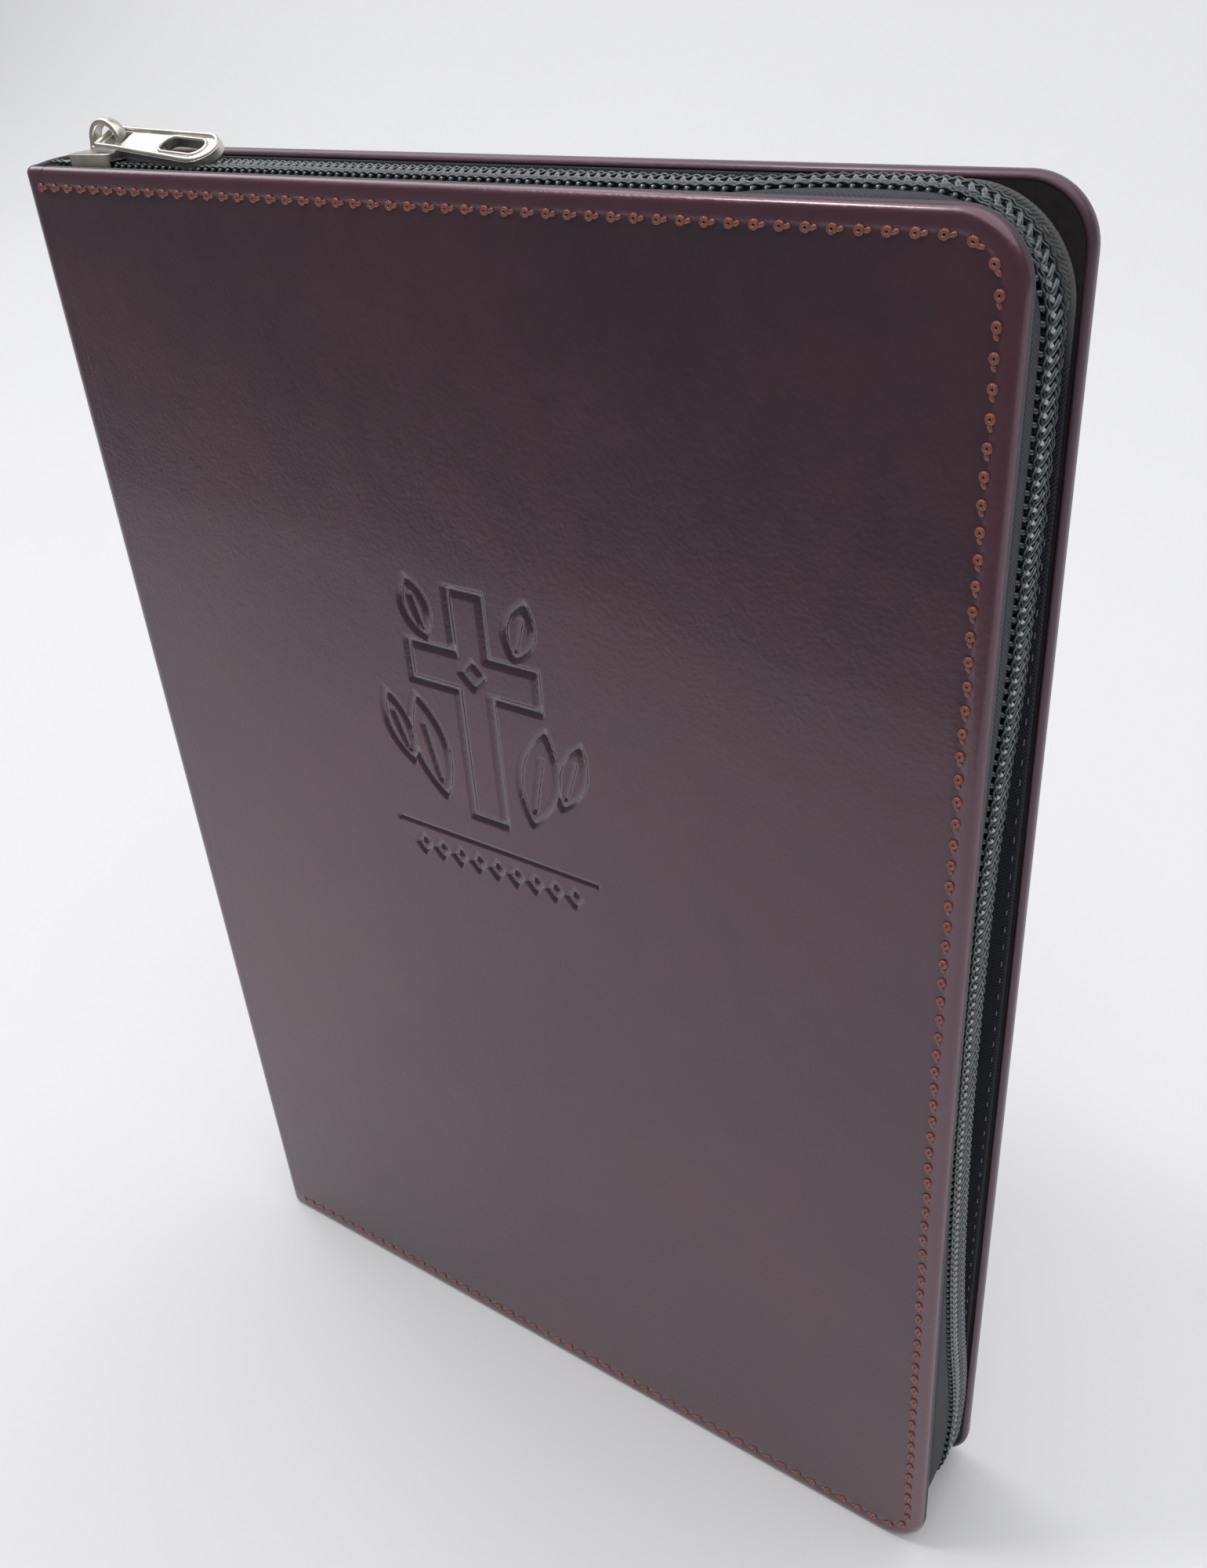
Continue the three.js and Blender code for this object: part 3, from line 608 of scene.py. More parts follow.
# ---- Covers ----------------------------------------------------------------------------------
def edge_profile():
    """The cover's edge as rows of inset and depth below the face: flat from the corner's centre
    with a valley under the seam, a round, the side, and a smaller round up to the lining."""
    flat = np.array((8, 7, 6, 5, 4.3, 3.8, 3.5, 3.25, 3.0, 2.8, 2.6, 2.35, 2.1, 1.8, 1.5, 1.2))
    rows = [np.stack((flat, SEAM_VALLEY * np.exp(-(((flat - SEAM_INSET) / 0.55) ** 2))), -1)]
    turn = np.linspace(0, math.pi / 2, 8)[1:]
    rows.append(np.stack((EDGE_ROUND - EDGE_ROUND * np.sin(turn), EDGE_ROUND - EDGE_ROUND * np.cos(turn)), -1))
    start = COVER - EDGE_INNER_ROUND
    rows.append(np.array(((0, 1.4), (0, 1.6), (0, start))))
    turn = np.linspace(0, math.pi / 2, 6)[1:]
    inward = EDGE_INNER_ROUND - EDGE_INNER_ROUND * np.cos(turn)
    rows.append(np.stack((inward, start + EDGE_INNER_ROUND * np.sin(turn)), -1))
    return np.vstack(rows)


def lozenge(x, z, half_x, half_z):
    return (np.abs(x) / half_x + np.abs(z) / half_z - 1) * min(half_x, half_z) * 0.8


def bar(x, z, half_x, half_z):
    return np.maximum(np.abs(x) - half_x, np.abs(z) - half_z)


def leaf(x, z, half_x, half_z):
    """A pointed oval: its half width falls off with the square of the height."""
    return (np.abs(x) - half_x * (1 - (z / half_z) ** 2)) / np.sqrt(1 + (2 * half_x * z / half_z**2) ** 2)


def ornament(x, z):
    """How far each place is pressed, 0 to 1: a cross in outline with leaves beside it, over a rule
    and a row of lozenges."""
    x = x - 1.5

    def line(distance, half):
        return 1 - smooth_step(np.abs(distance), half - 0.12, half + 0.28)

    cross = np.minimum(bar(x, z - 147.5, 3.1, 19.0), bar(x, z - 153.5, 12.0, 3.1))
    marks = [line(cross, 0.5), line(lozenge(x, z - 153.5, 2.1, 2.1), 0.35)]
    leaves = ((10.5, 139.0, 3.4, 8.6, 0.22), (16.6, 141.0, 2.3, 6.0, 0.34), (9.6, 162.4, 2.4, 4.6, 0.3))
    for away, up, wide, tall, lean in leaves:
        u = np.abs(x) - away
        v = z - up
        turned_u, turned_v = u * math.cos(lean) - v * math.sin(lean), u * math.sin(lean) + v * math.cos(lean)
        marks.append(line(leaf(turned_u, turned_v, wide, tall), 0.38))
        marks.append(line(bar(turned_u, turned_v + tall * 0.15, 0.05, tall * 0.55), 0.28))
    marks.append(1 - smooth_step(bar(x, z - 123.2, 20.0, 0.42), -0.1, 0.25))
    marks.append(line(lozenge((np.abs(x) + 1.9) % 3.8 - 1.9, z - 119.2, 1.25, 1.5), 0.3) * (np.abs(x) < 17.2))
    return np.max(marks, 0)


def closer(start, near, far, end, counts):
    """Grid lines from start to end, closer to each other between near and far."""
    before, between, after = (np.linspace(*span) for span in zip((start, near, far), (near, far, end), counts))
    return np.concatenate((before[:-1], between, after[1:]))


def cover_skin(side, prefix):
    """Leather of a cover. Lines in X and Z cross; past the corner's centre each line follows the
    edge profile, and where both do, the outer of the two is a ring round the corner, whose angle
    goes with their ratio."""
    profile = edge_profile()
    arc = np.concatenate(((0,), np.cumsum(np.linalg.norm(np.diff(profile, axis=0), axis=1))))
    out = arc[1:]
    radius = CORNER_RADIUS
    x_flat, z_flat = np.linspace(STRIP_EDGE + 0.04, FORE_X - radius, 30), np.linspace(radius, HEIGHT - radius, 42)
    if side < 0:
        x_flat = closer(STRIP_EDGE + 0.04, *ORNAMENT_X, FORE_X - radius, (12, 128, 12))
        z_flat = closer(radius, *ORNAMENT_Z, HEIGHT - radius, (22, 155, 11))
    x_flat = np.concatenate(((STRIP_EDGE,), x_flat))
    x_base = np.concatenate((x_flat, np.full(len(out), FORE_X - radius)))[:, None]
    x_out = np.concatenate((np.zeros(len(x_flat)), out))[:, None]
    z_base = np.concatenate((np.full(len(out), radius), z_flat, np.full(len(out), HEIGHT - radius)))[None, :]
    z_out = np.concatenate((out[::-1], np.zeros(len(z_flat)), out))[None, :]
    up = np.where(z_base < HEIGHT / 2, -1.0, 1.0)
    ring = np.maximum(x_out, z_out)
    ratio = np.minimum(x_out, z_out) / np.where(ring > 0, ring, 1)
    angle = np.where(x_out >= z_out, ratio, 2 - ratio) * math.pi / 4
    angle = np.where(ring > 0, angle, 0)
    inset, depth = np.interp(ring, arc, profile[:, 0]), np.interp(ring, arc, profile[:, 1])
    x = x_base + (radius - inset) * np.cos(angle)
    z = z_base + up * (radius - inset) * np.sin(angle)
    pressed = np.zeros_like(x)
    if side < 0:
        pressed = ornament(x, z) * (ring == 0)
    depth = depth + pressed * bpy.context.scene.book_case.press / MM
    points = bowed(np.stack((x, side * (OUTER - depth), z), -1), side)
    piece = add_mesh(
        f"{prefix}_cover_leather",
        points,
        grid_faces(*x.shape),
        f"{prefix}_cover",
        "case_leather",
        50.0,
        (0, side, 0),
        [f"{prefix}_cover_skin"],
    )
    rim = smooth_step(ring, arc[20], arc[22]) * (1.0 if side < 0 else 0.45)
    mark(piece, x.shape, pressed=pressed, margin=margin_at(inset), rim=rim)
    wall = piece.modifiers.new("wall", "SOLIDIFY")
    wall.thickness, wall.offset = LEATHER * MM, -1.0
    return piece


def leaf_slab(name, side, low_x, high_x, inset, radius, near, far, body, material, replaces):
    """A bowed flat layer with two rounded corners: a grid whose rows shorten round the corners, as
    a closed loop over its near and far faces."""
    z = inset + (HEIGHT - 2 * inset) * (1 - np.cos(np.linspace(0, math.pi, 61))) / 2
    from_end = np.minimum(z - inset, HEIGHT - inset - z)
    back = radius - np.sqrt(np.clip(radius**2 - np.clip(radius - from_end, 0, None) ** 2, 0, None))
    share = np.linspace(0, 1, 25)[None, :]
    x = low_x + (high_x - back[:, None] - low_x) * share
    zz = np.broadcast_to(z[:, None], x.shape)
    faces_y = (np.full_like(x, side * far), np.full_like(x, side * near))
    top, under = (np.stack((x, y, zz), -1) for y in faces_y)
    loop = bowed(np.concatenate((top, under[:, ::-1]), 1), side)
    return add_mesh(name, loop, loft_faces(*loop.shape[:2]), body, material, 30.0, None, replaces)


class BOOK_OT_covers(bpy.types.Operator):
    """Leather of both covers, with the pressed ornament on the front"""

    bl_idname = "book.covers"
    bl_label = "Cover leather"

    def execute(self, context):
        for side, prefix in SIDES:
            cover_skin(side, prefix)
        return {"FINISHED"}


class BOOK_OT_layers(bpy.types.Operator):
    """Boards, linings and pastedowns inside the covers"""

    bl_idname = "book.layers"
    bl_label = "Cover layers"

    def execute(self, context):
        for node, radius, material in (
            ("board", 2.0, "cover_board"),
            ("lining", 7.05, "cover_lining"),
            ("pastedown", 7.0, "endpaper"),
        ):
            low, high = box_mm(f"front_{node}")
            leaf_slab(
                f"front_{node}_bowed", -1, low[0], high[0], low[2], radius, -high[1], -low[1],
                "front_cover", material, [f"front_{node}"],
            )  # fmt: skip
            repaint(f"rear_{node}", material)
        return {"FINISHED"}


def repaint(node, material):
    """Gives a frame node its material."""
    slots = frame["nodes"][node].data.materials
    slots.clear()
    slots.append(finish_of(material))


# ---- Spine -----------------------------------------------------------------------------------
def spine_line():
    """The spine's outer line from the front cover to the rear cover: a straight strip, a quarter
    round, a parabola that bulges to the back, and the same again mirrored."""
    spine_x, radius, bulge = SPINE_LOW[0] + 3.0, 2.5, 3.0
    corner = OUTER - radius
    straight = np.linspace(STRIP_EDGE, spine_x + radius, 8)[:-1]
    front = np.stack((straight, np.full(len(straight), -OUTER)), -1)
    turn = np.linspace(0, math.pi / 2, 10)
    round_part = np.stack((spine_x + radius - radius * np.sin(turn), -corner - radius * np.cos(turn)), -1)
    y = np.linspace(-corner, corner, 33)[1:-1]
    back = np.stack((spine_x - bulge * (1 - (y / corner) ** 2), y), -1)
    half = np.vstack((front, round_part))
    return np.vstack((half, back, half[::-1] * (1, -1)))


def spine_strip(name, line, normal, replaces):
    """A strip of the spine: a long thin loop over the height, with half-round ends, carried along
    part of the spine's line."""
    thick, outer, inner = 1.6, 1.1, 0.45
    turn = np.linspace(0, math.pi / 2, 8)
    edge_depth = np.concatenate((outer - outer * np.cos(turn), thick - inner + inner * np.sin(turn)))
    edge_inset = np.concatenate((outer - outer * np.sin(turn), inner - inner * np.cos(turn)))
    heights = np.linspace(outer, HEIGHT - outer, 56)[1:-1]
    depth = np.concatenate((np.zeros(54), edge_depth, np.full(54, thick), edge_depth[::-1]))
    z = np.concatenate((heights, HEIGHT - edge_inset, heights[::-1], edge_inset[::-1]))
    flat = line[:, None, :] - normal[:, None, :] * depth[None, :, None]
    points = np.concatenate((flat, np.broadcast_to(z[None, :, None], (*flat.shape[:2], 1))), -1)
    piece = add_mesh(name, points, loft_faces(*points.shape[:2]), None, "case_leather", 50.0)
    rim = smooth_step(depth, 0.9, 1.1)
    mark(piece, points.shape[:2], rim=rim, margin=margin_at(np.minimum(z, HEIGHT - z)))
    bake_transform(piece)
    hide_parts(*replaces)


class BOOK_OT_spine(bpy.types.Operator):
    """Three strips of spine leather: one over the spine's middle and one at each cover's fold"""

    bl_idname = "book.spine"
    bl_label = "Spine leather"

    def execute(self, context):
        line = spine_line()
        along = unit(np.gradient(line, axis=0))
        normal = np.stack((-along[:, 1], along[:, 0]), -1)
        normal *= np.sign((normal * (line - (0, 0))).sum(1))[:, None]
        first, last = 14, len(line) - 15
        spine_strip("spine_middle", line[first : last + 1], normal[first : last + 1],
                    ["front_spine_skin", "rear_spine_skin"])  # fmt: skip
        spine_strip("spine_front_fold", line[: first + 1], normal[: first + 1],
                    ["front_spine_skin"])  # fmt: skip
        spine_strip("spine_rear_fold", line[last:], normal[last:],
                    ["rear_spine_skin"])  # fmt: skip
        return {"FINISHED"}


# ---- Seams -----------------------------------------------------------------------------------
def seam_places(pitch, inset, start_x):
    """Evenly spaced places round a cover's three sewn edges, with the directions along and out."""
    radius = CORNER_RADIUS - inset
    args = (start_x, FORE_X - inset, HEIGHT - inset, inset, radius)
    total = run_length(start_x, start_x, *args[1:])
    s = (np.arange(int(total / pitch)) + 0.5) * pitch
    x, z, nx, nz = rounded_run(s, *args)
    return x, z, nx, nz


class BOOK_OT_seams(bpy.types.Operator):
    """Seam stitches round both covers: thread lobes, rings round the needle holes, and near-black lobes in the holes
    that are painted shade
    """

    bl_idname = "book.seams"
    bl_label = "Seams"

    def execute(self, context):
        pitch = context.scene.book_case.pitch / MM
        for side, prefix in SIDES:
            x, z, nx, nz = seam_places(pitch, SEAM_INSET, FOLD_X + 0.2)
            zero = np.zeros_like(x)
            out = np.stack((nx, zero, nz), -1)
            ahead = np.stack((nz, zero, -nx), -1)
            up = np.broadcast_to((0.0, float(side), 0.0), out.shape)
            lean = 0.35
            along = ahead * math.cos(lean) + out * math.sin(lean)
            across = np.cross(up, along)
            base = np.stack((x, np.full_like(x, side * (OUTER - 0.16)), z), -1)
            drift = 0.08 * np.sin(x * 2.1 + z * 1.7)[:, None] * out
            parts = (
                ("thread", lobe(0.55, 0.34, 0.28), ahead * 0.35 + drift, 0.02, "seam_thread"),
                ("eyelet", ring_shape(0.42, 0.36, 0.3), ahead * -0.5 + drift, 0.1, "seam_thread"),
                # Painted shade: a flat near-black lobe on the leather at each needle hole stands for the shade inside
                # the hole.
                ("hole", lobe(0.3, 0.26, 0.16, 3, 8), ahead * -0.5 + drift, 0.04, "needle_hole_shade"),
            )
            for kind, (shape, faces), shift, lift, material in parts:
                origins = bowed(base + shift + up * lift, side)
                points, every = copies_of(shape, faces, origins, along, across, up)
                add_mesh(f"{prefix}_seam_{kind}", points, every, f"{prefix}_cover", material, 80.0,
                         None, [f"{prefix}_seam_thread"] if kind == "thread" else ())  # fmt: skip
        total = run_length(TAPE_START, TAPE_START, *CHAIN_PATH)
        x, z, nx, nz, _ = chain_places(np.arange(pitch, total - pitch, pitch), TAPE_START)
        zero = np.zeros_like(x)
        ahead, out = np.stack((nz, zero, -nx), -1), np.stack((nx, zero, nz), -1)
        origins = np.stack((x - 0.9 * nx, np.full_like(x, INNER - 0.6), z - 0.9 * nz), -1)
        points, every = copies_of(*lobe(0.55, 0.13, 0.12), origins, ahead, out, np.cross(ahead, out))
        add_mesh("rear_inner_stitches", points, every, "rear_cover", "tape_thread", 80.0)
        return {"FINISHED"}


# ---- Zip -------------------------------------------------------------------------------------
def chain_y(s, start_x):
    """The chain's Y at length s: the wander tables joined by straight lines, then averaged over
    a few millimetres three times."""
    head = CHAIN_FORE - CHAIN_CORNER - start_x
    arc = math.pi / 2 * CHAIN_CORNER
    fore_top = head + arc + CHAIN_HEAD - CHAIN_CORNER
    knots = [(FORE_X - inset - start_x, y) for inset, y in HEAD_WANDER]
    knots += [(fore_top - share * HEIGHT, y) for share, y in FORE_WANDER]
    knots.append((head + 2 * arc + CHAIN_HEAD - CHAIN_TAIL - 2 * CHAIN_CORNER, TAIL_Y))
    even = np.arange(-20.0, 620.0, 0.5)
    y = np.interp(even, *zip(*knots))
    for _ in range(3):
        y = np.convolve(np.pad(y, 6, "edge"), np.full(13, 1 / 13), "valid")
    return np.interp(s, even, y)


def chain_places(s, start_x):
    x, z, nx, nz = rounded_run(s, start_x, *CHAIN_PATH)
    return x, z, nx, nz, chain_y(s, start_x)


def on_chain(s, across, out, start_x):
    """World points from the length along the chain, the distance across it and the height over it."""
    x, z, nx, nz, y = chain_places(s, start_x)
    return np.stack((x + nx * out, y + across, z + nz * out), -1)


def averaged(section, times=2):
    """A section's inner points moved to the mean of themselves and their neighbours."""
    for _ in range(times):
        section[:, 1:-1] = (section[:, :-2] + 2 * section[:, 1:-1] + section[:, 2:]) / 4
    return section


def zip_tape(side, prefix):
    """A tape: its section, a bent line from the coil to the cover, carried along the chain."""
    tape = bpy.context.scene.book_zip.tape / MM
    total = run_length(TAPE_START, TAPE_START, *CHAIN_PATH)
    s = np.linspace(0, total, 420)
    x, z, nx, nz, y = chain_places(s, TAPE_START)
    one = np.ones_like(s)
    if side < 0:
        wall = -INNER + 0.07 + bow_at(x + nx * -3, z + nz * -3)
        lift = 0.9 * smooth_step(s, 104, 122)
        corners = (
            (y - 1.25, -0.8 * one), (y - 2.6, -0.7 * one), (np.maximum(y - 3.0, wall + 0.3), lift - 0.4),
            (wall + 0.5, lift - 0.2), (wall, -1.2 * one), (wall, -5.2 * one),
        )  # fmt: skip
        counts = (4, 3, 6, 4, 7)
    else:
        wall = INNER - 0.05 - tape
        bend = np.minimum(y + 4.6, wall - 0.6)
        corners = (
            (y + 1.25, -1.0 * one), (bend, -1.0 * one), (wall - 0.25 * one, -3.9 * one),
            (wall * one, -3.7 * one), (wall * one, -0.15 * one),
        )  # fmt: skip
        counts = (7, 9, 2, 8)
    lines = []
    for (a, b), count in zip(zip(corners, corners[1:]), counts):
        share = np.linspace(0, 1, count, endpoint=False)
        lines.append(np.stack([a[k][:, None] * (1 - share) + b[k][:, None] * share for k in (0, 1)], -1))
    lines.append(np.stack((corners[-1][0] * one, corners[-1][1] * one), -1)[:, None])
    section = averaged(np.concatenate(lines, 1), 2)
    across, out = section[..., 0], section[..., 1]
    points = np.stack((x[:, None] + nx[:, None] * out, across, z[:, None] + nz[:, None] * out), -1)
    span = np.concatenate((np.zeros((len(s), 1)), np.cumsum(np.linalg.norm(np.diff(section, axis=1), axis=2), 1)), 1)
    faces = grid_faces(*across.shape)
    piece = add_mesh(f"{prefix}_zip_tape_woven", points, faces, f"{prefix}_cover", "zip_tape", 60.0,
                     outward_of_tape(points, faces, nx, nz), [f"{prefix}_zip_tape"])  # fmt: skip
    flat = np.stack((np.broadcast_to(s[:, None], span.shape), span), -1).reshape(-1, 2)
    corner = np.empty(len(piece.data.loops), np.int32)
    piece.data.loops.foreach_get("vertex_index", corner)
    piece.data.uv_layers.new(name="weave").data.foreach_set("uv", flat[corner].astype(np.float32).ravel())
    # Painted highlight: a patch of the rear tape round the head corner, which the tape's finish paints pale grey for
    # the light it catches there.
    corner_s = CHAIN_FORE - CHAIN_CORNER - TAPE_START + math.pi / 4 * CHAIN_CORNER
    worn = (side > 0) * (1 - smooth_step(np.abs(s - corner_s), 7.0, 19.0))
    mark(piece, span.shape, worn=worn[:, None])
    wall_mod = piece.modifiers.new("cloth", "SOLIDIFY")
    wall_mod.thickness, wall_mod.offset = tape * MM, -1.0
    return piece


def outward_of_tape(points, faces, nx, nz):
    """A direction to test the tape's faces by: up at the head, where the first rows lie."""
    rows = 60
    columns = points.shape[1]
    flat = points.reshape(-1, 3)
    quads = np.array(faces)[: rows * (columns - 1)].reshape(rows, columns - 1, 4)[:, 0]
    normal = np.cross(flat[quads[:, 1]] - flat[quads[:, 0]], flat[quads[:, 2]] - flat[quads[:, 0]]).sum(0)
    every = np.array(faces)
    total = np.cross(flat[every[:, 1]] - flat[every[:, 0]], flat[every[:, 2]] - flat[every[:, 0]]).sum(0)
    return total * (1.0 if normal[2] > 0 else -1.0)


def coil_inside(x, z):
    """The coil's inner edge from the chain's middle: parted by the slider's wedge, else across it."""
    return 1.35 - 1.75 * smooth_step(x + (z < HEIGHT / 2) * 99, PIVOT[0] - 3.5, PIVOT[0] - 1.6)


def zip_coil(side, prefix):
    """A coil: a flattened helix of filament along the chain, its heads leaning forwards."""
    zip_sizes = bpy.context.scene.book_zip
    pitch, radius = zip_sizes.pitch / MM, zip_sizes.filament / MM
    total = run_length(CHAIN_START, CHAIN_END, *CHAIN_PATH) - pitch
    turns = int(total / pitch)
    angle = np.linspace(0, 2 * math.pi * turns, turns * 14 + 1)
    start = pitch * (0.25 if side < 0 else 0.75)
    base = start + pitch * angle / (2 * math.pi)
    x, z = rounded_run(base, CHAIN_START, *CHAIN_PATH)[:2]
    inside = coil_inside(x, z)
    middle, reach = (CHAIN_HALF + inside) / 2, (CHAIN_HALF - inside) / 2 - radius
    across = middle + reach * np.cos(angle)
    head = (1 - np.cos(angle)) / 2
    s = base + COIL_LEAN * pitch * head
    rise = (COIL_TOP - radius) * np.tanh(2.2 * np.sin(angle)) / math.tanh(2.2)
    rise = rise - 1.5 * (1 - smooth_step(x, CHAIN_START, CHAIN_START + 2.5)) * (z > HEIGHT / 2)
    line = on_chain(s, side * across, rise, CHAIN_START)
    nx, nz = chain_places(s, CHAIN_START)[2:4]
    steer = np.stack((nz, 0 * s, -nx), -1)
    thick = radius * (1 + 0.18 * head)
    rings = tube(line, thick, steer, 6)
    add_mesh(f"{prefix}_zip_coil_wound", rings, loft_faces(*rings.shape[:2]), f"{prefix}_cover", "zip_coil",
             80.0, None, [f"{prefix}_zip_coil"])  # fmt: skip
    for number, place in ((1, 1.72), (2, 2.62)):
        step = np.arange(0, total - 0.8, pitch / 6)
        x, z = rounded_run(step, CHAIN_START, *CHAIN_PATH)[:2]
        wave = np.cos(2 * math.pi * (step - start) / pitch)
        spot = place + 0.35 * smooth_step(coil_inside(x, z), -0.4, 1.35)
        height = COIL_TOP - 0.14 + 0.1 * wave
        row = on_chain(step + pitch * 0.3, side * (spot + 0.05 * wave), height, CHAIN_START)
        nx, nz = chain_places(step, CHAIN_START)[2:4]
        rings = tube(row, 0.17, np.stack((nx, 0 * step, nz), -1), 5)
        add_mesh(f"{prefix}_coil_sewing_{number}", rings, loft_faces(*rings.shape[:2]), f"{prefix}_cover",
                 "coil_thread", 80.0)  # fmt: skip


class BOOK_OT_zip(bpy.types.Operator):
    """Both woven tapes and both wound coils with their sewing"""

    bl_idname = "book.zip"
    bl_label = "Zip tapes and coils"

    def execute(self, context):
        for side, prefix in SIDES:
            zip_tape(side, prefix)
            zip_coil(side, prefix)
        return {"FINISHED"}


# ---- Slider and pull -------------------------------------------------------------------------
def softened_copy(node, name, body, width, material, segments=3, top=None, move=None):
    """A frame node's shape with its flat faces joined and its edges rounded. What stands over top is
    taken off, and move gives its points new places."""
    mesh = frame["nodes"][node].data.copy()
    mesh.name = name
    shape = bmesh.new()
    shape.from_mesh(mesh)
    bmesh.ops.remove_doubles(shape, verts=shape.verts, dist=2e-6)
    if top is not None:
        bmesh.ops.delete(shape, geom=[v for v in shape.verts if v.co.z > top * MM], context="VERTS")
        bmesh.ops.holes_fill(shape, edges=[e for e in shape.edges if e.is_boundary], sides=0)
    bmesh.ops.dissolve_limit(shape, angle_limit=math.radians(1.5), verts=shape.verts, edges=shape.edges)
    bmesh.ops.recalc_face_normals(shape, faces=shape.faces)
    shape.to_mesh(mesh)
    shape.free()
    if move is not None:
        places = np.empty(len(mesh.vertices) * 3)
        mesh.vertices.foreach_get("co", places)
        mesh.vertices.foreach_set("co", (move(places.reshape(-1, 3) / MM) * MM).ravel())
    mesh.shade_smooth()
    mesh.set_sharp_from_angle(angle=math.radians(40))
    mesh.materials.clear()
    mesh.materials.append(finish_of(material))
    piece = add_object(name, mesh)
    soft = piece.modifiers.new("soft_edges", "BEVEL")
    soft.width, soft.segments, soft.limit_method, soft.angle_limit = width * MM, segments, "ANGLE", math.radians(32)
    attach(piece, body)
    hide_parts(node)
    return piece


def on_pull(points, tilt=PULL_LIE[0], roll=PULL_LIE[1]):
    """World points from places along, across and over the pull, rolled about its length and tilted."""
    u, v, w = np.moveaxis(points, -1, 0)
    v, w = v * math.cos(roll) - w * math.sin(roll), v * math.sin(roll) + w * math.cos(roll)
    return PIVOT + np.stack((u * math.cos(tilt) + w * math.sin(tilt), v, w * math.cos(tilt) - u * math.sin(tilt)), -1)


def relaid(points):
    """The frame's pull lies level across; this lays its points as the pull really rests."""
    x, v, z = np.moveaxis(points - PIVOT, -1, 0)
    cos, sin = math.cos(PULL_TILT), math.sin(PULL_TILT)
    return on_pull(np.stack((x * cos - z * sin, v, x * sin + z * cos), -1))


def bail():
    """The slider's arch: a flattened oval carried up, over a half circle and down again."""
    turn = np.linspace(0, math.pi, 25)
    x = np.concatenate((np.full(4, 3.0), 3.0 * np.cos(turn), np.full(4, -3.0)))
    z = np.concatenate((np.linspace(-2.2, -0.4, 4), 2.55 * np.sin(turn), np.linspace(-0.4, -2.2, 4)))
    ahead = unit(np.gradient(np.stack((x, z), -1), axis=0))
    around = np.linspace(0, 2 * math.pi, 16, endpoint=False)
    flat = np.sign(np.cos(around)) * np.abs(np.cos(around)) ** 0.6 * 0.5
    wide = np.sign(np.sin(around)) * np.abs(np.sin(around)) ** 0.6 * (0.95 + 0.25 * np.clip(-z, 0, 1))[:, None]
    points = np.stack(
        (x[:, None] + ahead[:, 1:] * flat, np.broadcast_to(wide, (len(x), 16)), z[:, None] - ahead[:, :1] * flat), -1
    )
    add_mesh("slider_bail", PIVOT + points, loft_faces(*points.shape[:2]), "slider", "nickel", 60.0)


def pull_ring(name, flat, radius, heights):
    """A raised bead round a closed flat path on the pull."""
    for number, height in enumerate(heights):
        line = on_pull(np.concatenate((flat, np.full((len(flat), 1), height)), -1))
        rings = tube(line, radius, np.broadcast_to(on_pull(np.array((0, 0, 1.0))) - PIVOT, line.shape), 8, True)
        faces = torus_faces(len(rings), 8)
        add_mesh(f"{name}_{number + 1}", rings, faces, "pull", "nickel", 80.0)


def pull_outline(inset):
    """The pull's outline moved in by inset: straight flanks that widen, and a round end."""
    back, knee, tip = -0.8 + inset, PULL_EYE_END, PULL_TIP
    eye, end = 2.7 - inset, PULL_END_HALF - inset
    turn = np.linspace(-math.pi / 2, math.pi / 2, 17)
    flank = np.linspace(0, 1, 14, endpoint=False)
    lower = np.stack((knee + (tip - PULL_END_HALF - knee) * flank, -(eye + (end - eye) * flank)), -1)
    round_end = np.stack((tip - PULL_END_HALF + end * np.cos(turn), end * np.sin(turn)), -1)
    start = np.stack((np.linspace(back, knee, 6, endpoint=False), np.full(6, -eye)), -1)
    half = np.vstack((start, lower, round_end))
    other = np.vstack((start, lower))[::-1] * (1, -1)
    close = np.stack((np.full(5, back), np.linspace(eye, -eye, 7)[1:-1]), -1)
    return np.vstack((half, other, close))


class BOOK_OT_slider(bpy.types.Operator):
    """Slider, pull with raised rims, and the zip's end stop"""

    bl_idname = "book.slider"
    bl_label = "Slider and pull"

    def execute(self, context):
        softened_copy("zip_slider", "slider_cast", "slider", 0.24, "nickel", top=SLIDER_TOP)
        bail()
        softened_copy("zip_end_stop", "zip_end_stop_cast", "rear_cover", 0.35, "nickel")
        softened_copy("zip_pull", "pull_plate", "pull", 0.2, "nickel", move=relaid)
        pull_ring("pull_rim", pull_outline(0.5), 0.42, (0.58, -0.58))
        turn = np.linspace(0, 2 * math.pi, 40, endpoint=False)
        centre, straight, reach = PULL_TIP - 6.6, 2.5, 1.8
        u = centre + np.sign(np.cos(turn)) * straight + reach * np.cos(turn)
        pull_ring("pull_window_rim", np.stack((u, reach * np.sin(turn)), -1), 0.3, (0.56, -0.56))
        return {"FINISHED"}


# ---- Text block ------------------------------------------------------------------------------
class BOOK_OT_block(bpy.types.Operator):
    """Paper, flyleaves, spine lining, bands and ribbon"""

    bl_idname = "book.block"
    bl_label = "Text block"

    def execute(self, context):
        for node in frame["nodes"]:
            if node.startswith("section_"):
                repaint(node, "bible_paper")
        for node, material in (
            ("front_flyleaf", "endpaper"),
            ("rear_flyleaf", "endpaper"),
            ("spine_lining", "spine_lining"),
            ("head_band", "band_cloth"),
            ("tail_band", "band_cloth"),
            ("ribbon_marker", "ribbon"),
        ):
            repaint(node, material)
        return {"FINISHED"}


# ---- Stage -----------------------------------------------------------------------------------
def set_place(made, right, up, back, place):
    """Puts a lamp or a camera at a place, by the directions of its own axes."""
    turned = np.eye(4)
    turned[:3, :3] = np.stack((right, up, back), -1)
    turned[:3, 3] = place
    made.matrix_world = Matrix(turned.tolist())


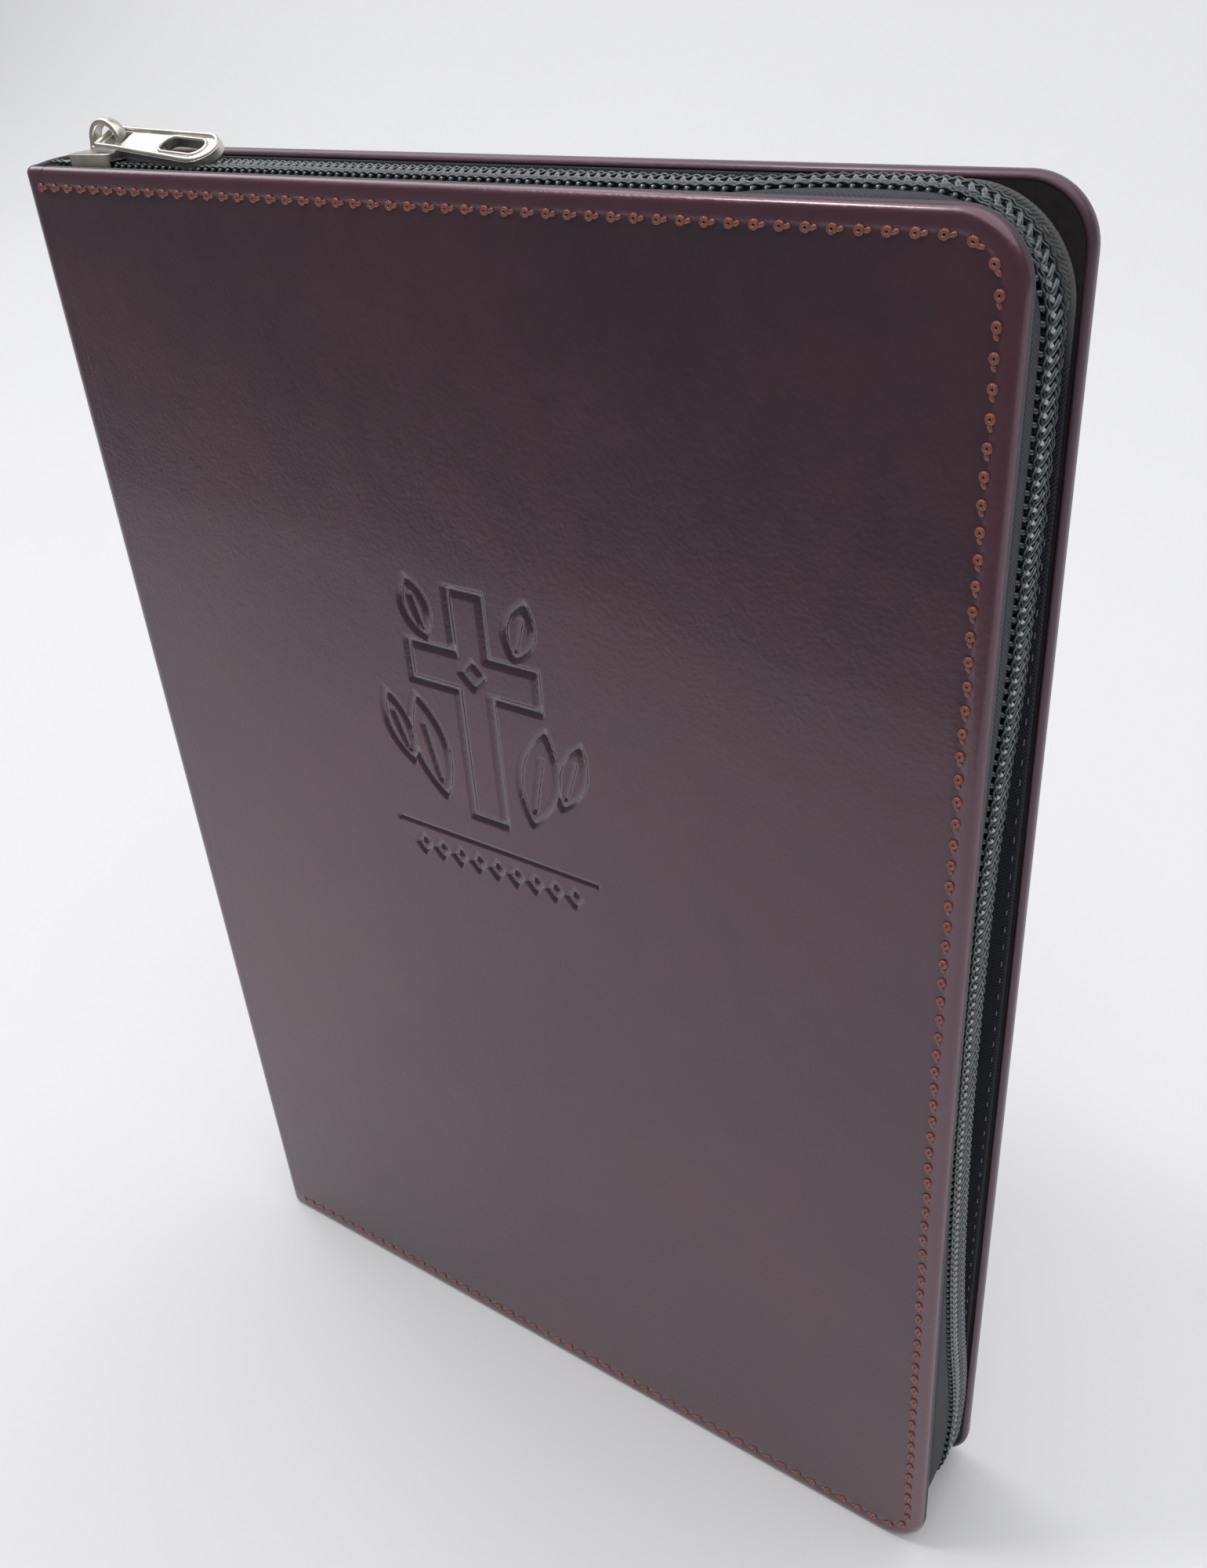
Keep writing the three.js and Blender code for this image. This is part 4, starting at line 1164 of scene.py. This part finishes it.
class BOOK_OT_stage(bpy.types.Operator):
    """Pale floor that curves up behind the book, soft light and the camera"""

    bl_idname = "book.stage"
    bl_label = "Stage"

    def execute(self, context):
        scene = context.scene
        stage = scene.book_stage
        turn = np.linspace(0, math.pi / 2, 20)
        y = np.concatenate((np.linspace(-320, 900, 34), 900 + 700 * np.sin(turn)[1:], np.full(6, 1600)))
        z = np.concatenate((np.zeros(34), 700 - 700 * np.cos(turn)[1:], np.linspace(850, 2200, 6)))
        x = np.linspace(-2200, 2200, 12)
        sweep = np.stack(np.broadcast_arrays(x[:, None], y[None, :], z[None, :]), -1)
        floor = add_mesh("floor_sweep", sweep, grid_faces(*sweep.shape[:2]), outward=(0, 0, 1))
        made = Finish("floor_paper")
        tone = made.noise(3.0, 2.0)
        made.feed("Base Color", made.mix(tone * 0.4, stage.floor, [c * 0.94 for c in stage.floor]))
        made.feed("Roughness", 0.75 + tone * 0.05)
        floor.data.materials.append(made.material)
        world = bpy.data.worlds.new("room")
        scene.world = world
        world.use_nodes = True
        shade = world.node_tree.nodes["Background"]
        shade.inputs["Color"].default_value = (0.95, 0.97, 1.0, 1.0)
        shade.inputs["Strength"].default_value = stage.room
        for name, place, aim, size, watts, tint in (
            ("softbox", (0.5, -0.3, 2.1), (0.3, -0.1, 0), 3.2, stage.power, (1.0, 1.0, 1.0)),
            ("side_card", (-1.7, 0.6, 1.6), (-0.6, 1.2, 0), 1.4, stage.power * 0.3, (1.0, 1.0, 1.0)),
            ("key", (-0.45, -0.35, 1.2), (0, 0, 0.1), 0.18, stage.power * 0.065, (1.0, 0.98, 0.96)),
        ):
            data = bpy.data.lights.new(name, "AREA")
            data.size, data.energy, data.color = size, watts, tint
            back = unit(np.array(place) - np.array(aim))
            right = unit(np.cross((0, 0, 1.0), back))
            set_place(add_object(name, data), right, np.cross(back, right), back, place)
        camera_data = bpy.data.cameras.new("camera")
        camera_data.lens, camera_data.sensor_width = 32.33, 36.0
        camera_data.clip_start, camera_data.clip_end = 0.005, 20.0
        camera = add_object("camera", camera_data)
        right, down, forward = (
            np.array((0.82247, 0.56463, -0.06875)),
            np.array((0.24900, -0.46608, -0.84898)),
            np.array((-0.51141, 0.68115, -0.52393)),
        )
        set_place(camera, right, -down, -forward, (0.1253, -0.1468, 0.2457))
        scene.camera = camera
        scene.view_settings.view_transform = "Standard"
        return {"FINISHED"}


class BOOK_PT_panel(bpy.types.Panel):
    """The book's pieces and their settings"""

    bl_idname = "BOOK_PT_panel"
    bl_label = "Book"
    bl_space_type = "VIEW_3D"
    bl_region_type = "UI"
    bl_category = "Book"

    def draw(self, context):
        for operator in OPERATORS:
            self.layout.operator(operator.bl_idname)
        for name, group in SETTINGS.items():
            box = self.layout.box()
            for setting in group.__annotations__:
                box.prop(getattr(context.scene, name), setting)


OPERATORS = (
    BOOK_OT_covers,
    BOOK_OT_layers,
    BOOK_OT_spine,
    BOOK_OT_seams,
    BOOK_OT_zip,
    BOOK_OT_slider,
    BOOK_OT_block,
    BOOK_OT_stage,
)


def register():
    for group in (*SETTINGS.values(), *OPERATORS, BOOK_PT_panel):
        bpy.utils.register_class(group)
    for name, group in SETTINGS.items():
        setattr(bpy.types.Scene, name, PointerProperty(type=group))


def unregister():
    for name in SETTINGS:
        delattr(bpy.types.Scene, name)
    for group in reversed((*SETTINGS.values(), *OPERATORS, BOOK_PT_panel)):
        bpy.utils.unregister_class(group)


def main():
    register()
    for operator in OPERATORS:
        getattr(bpy.ops.book, operator.bl_idname.split(".")[1])()


if __name__ == "__main__":
    main()
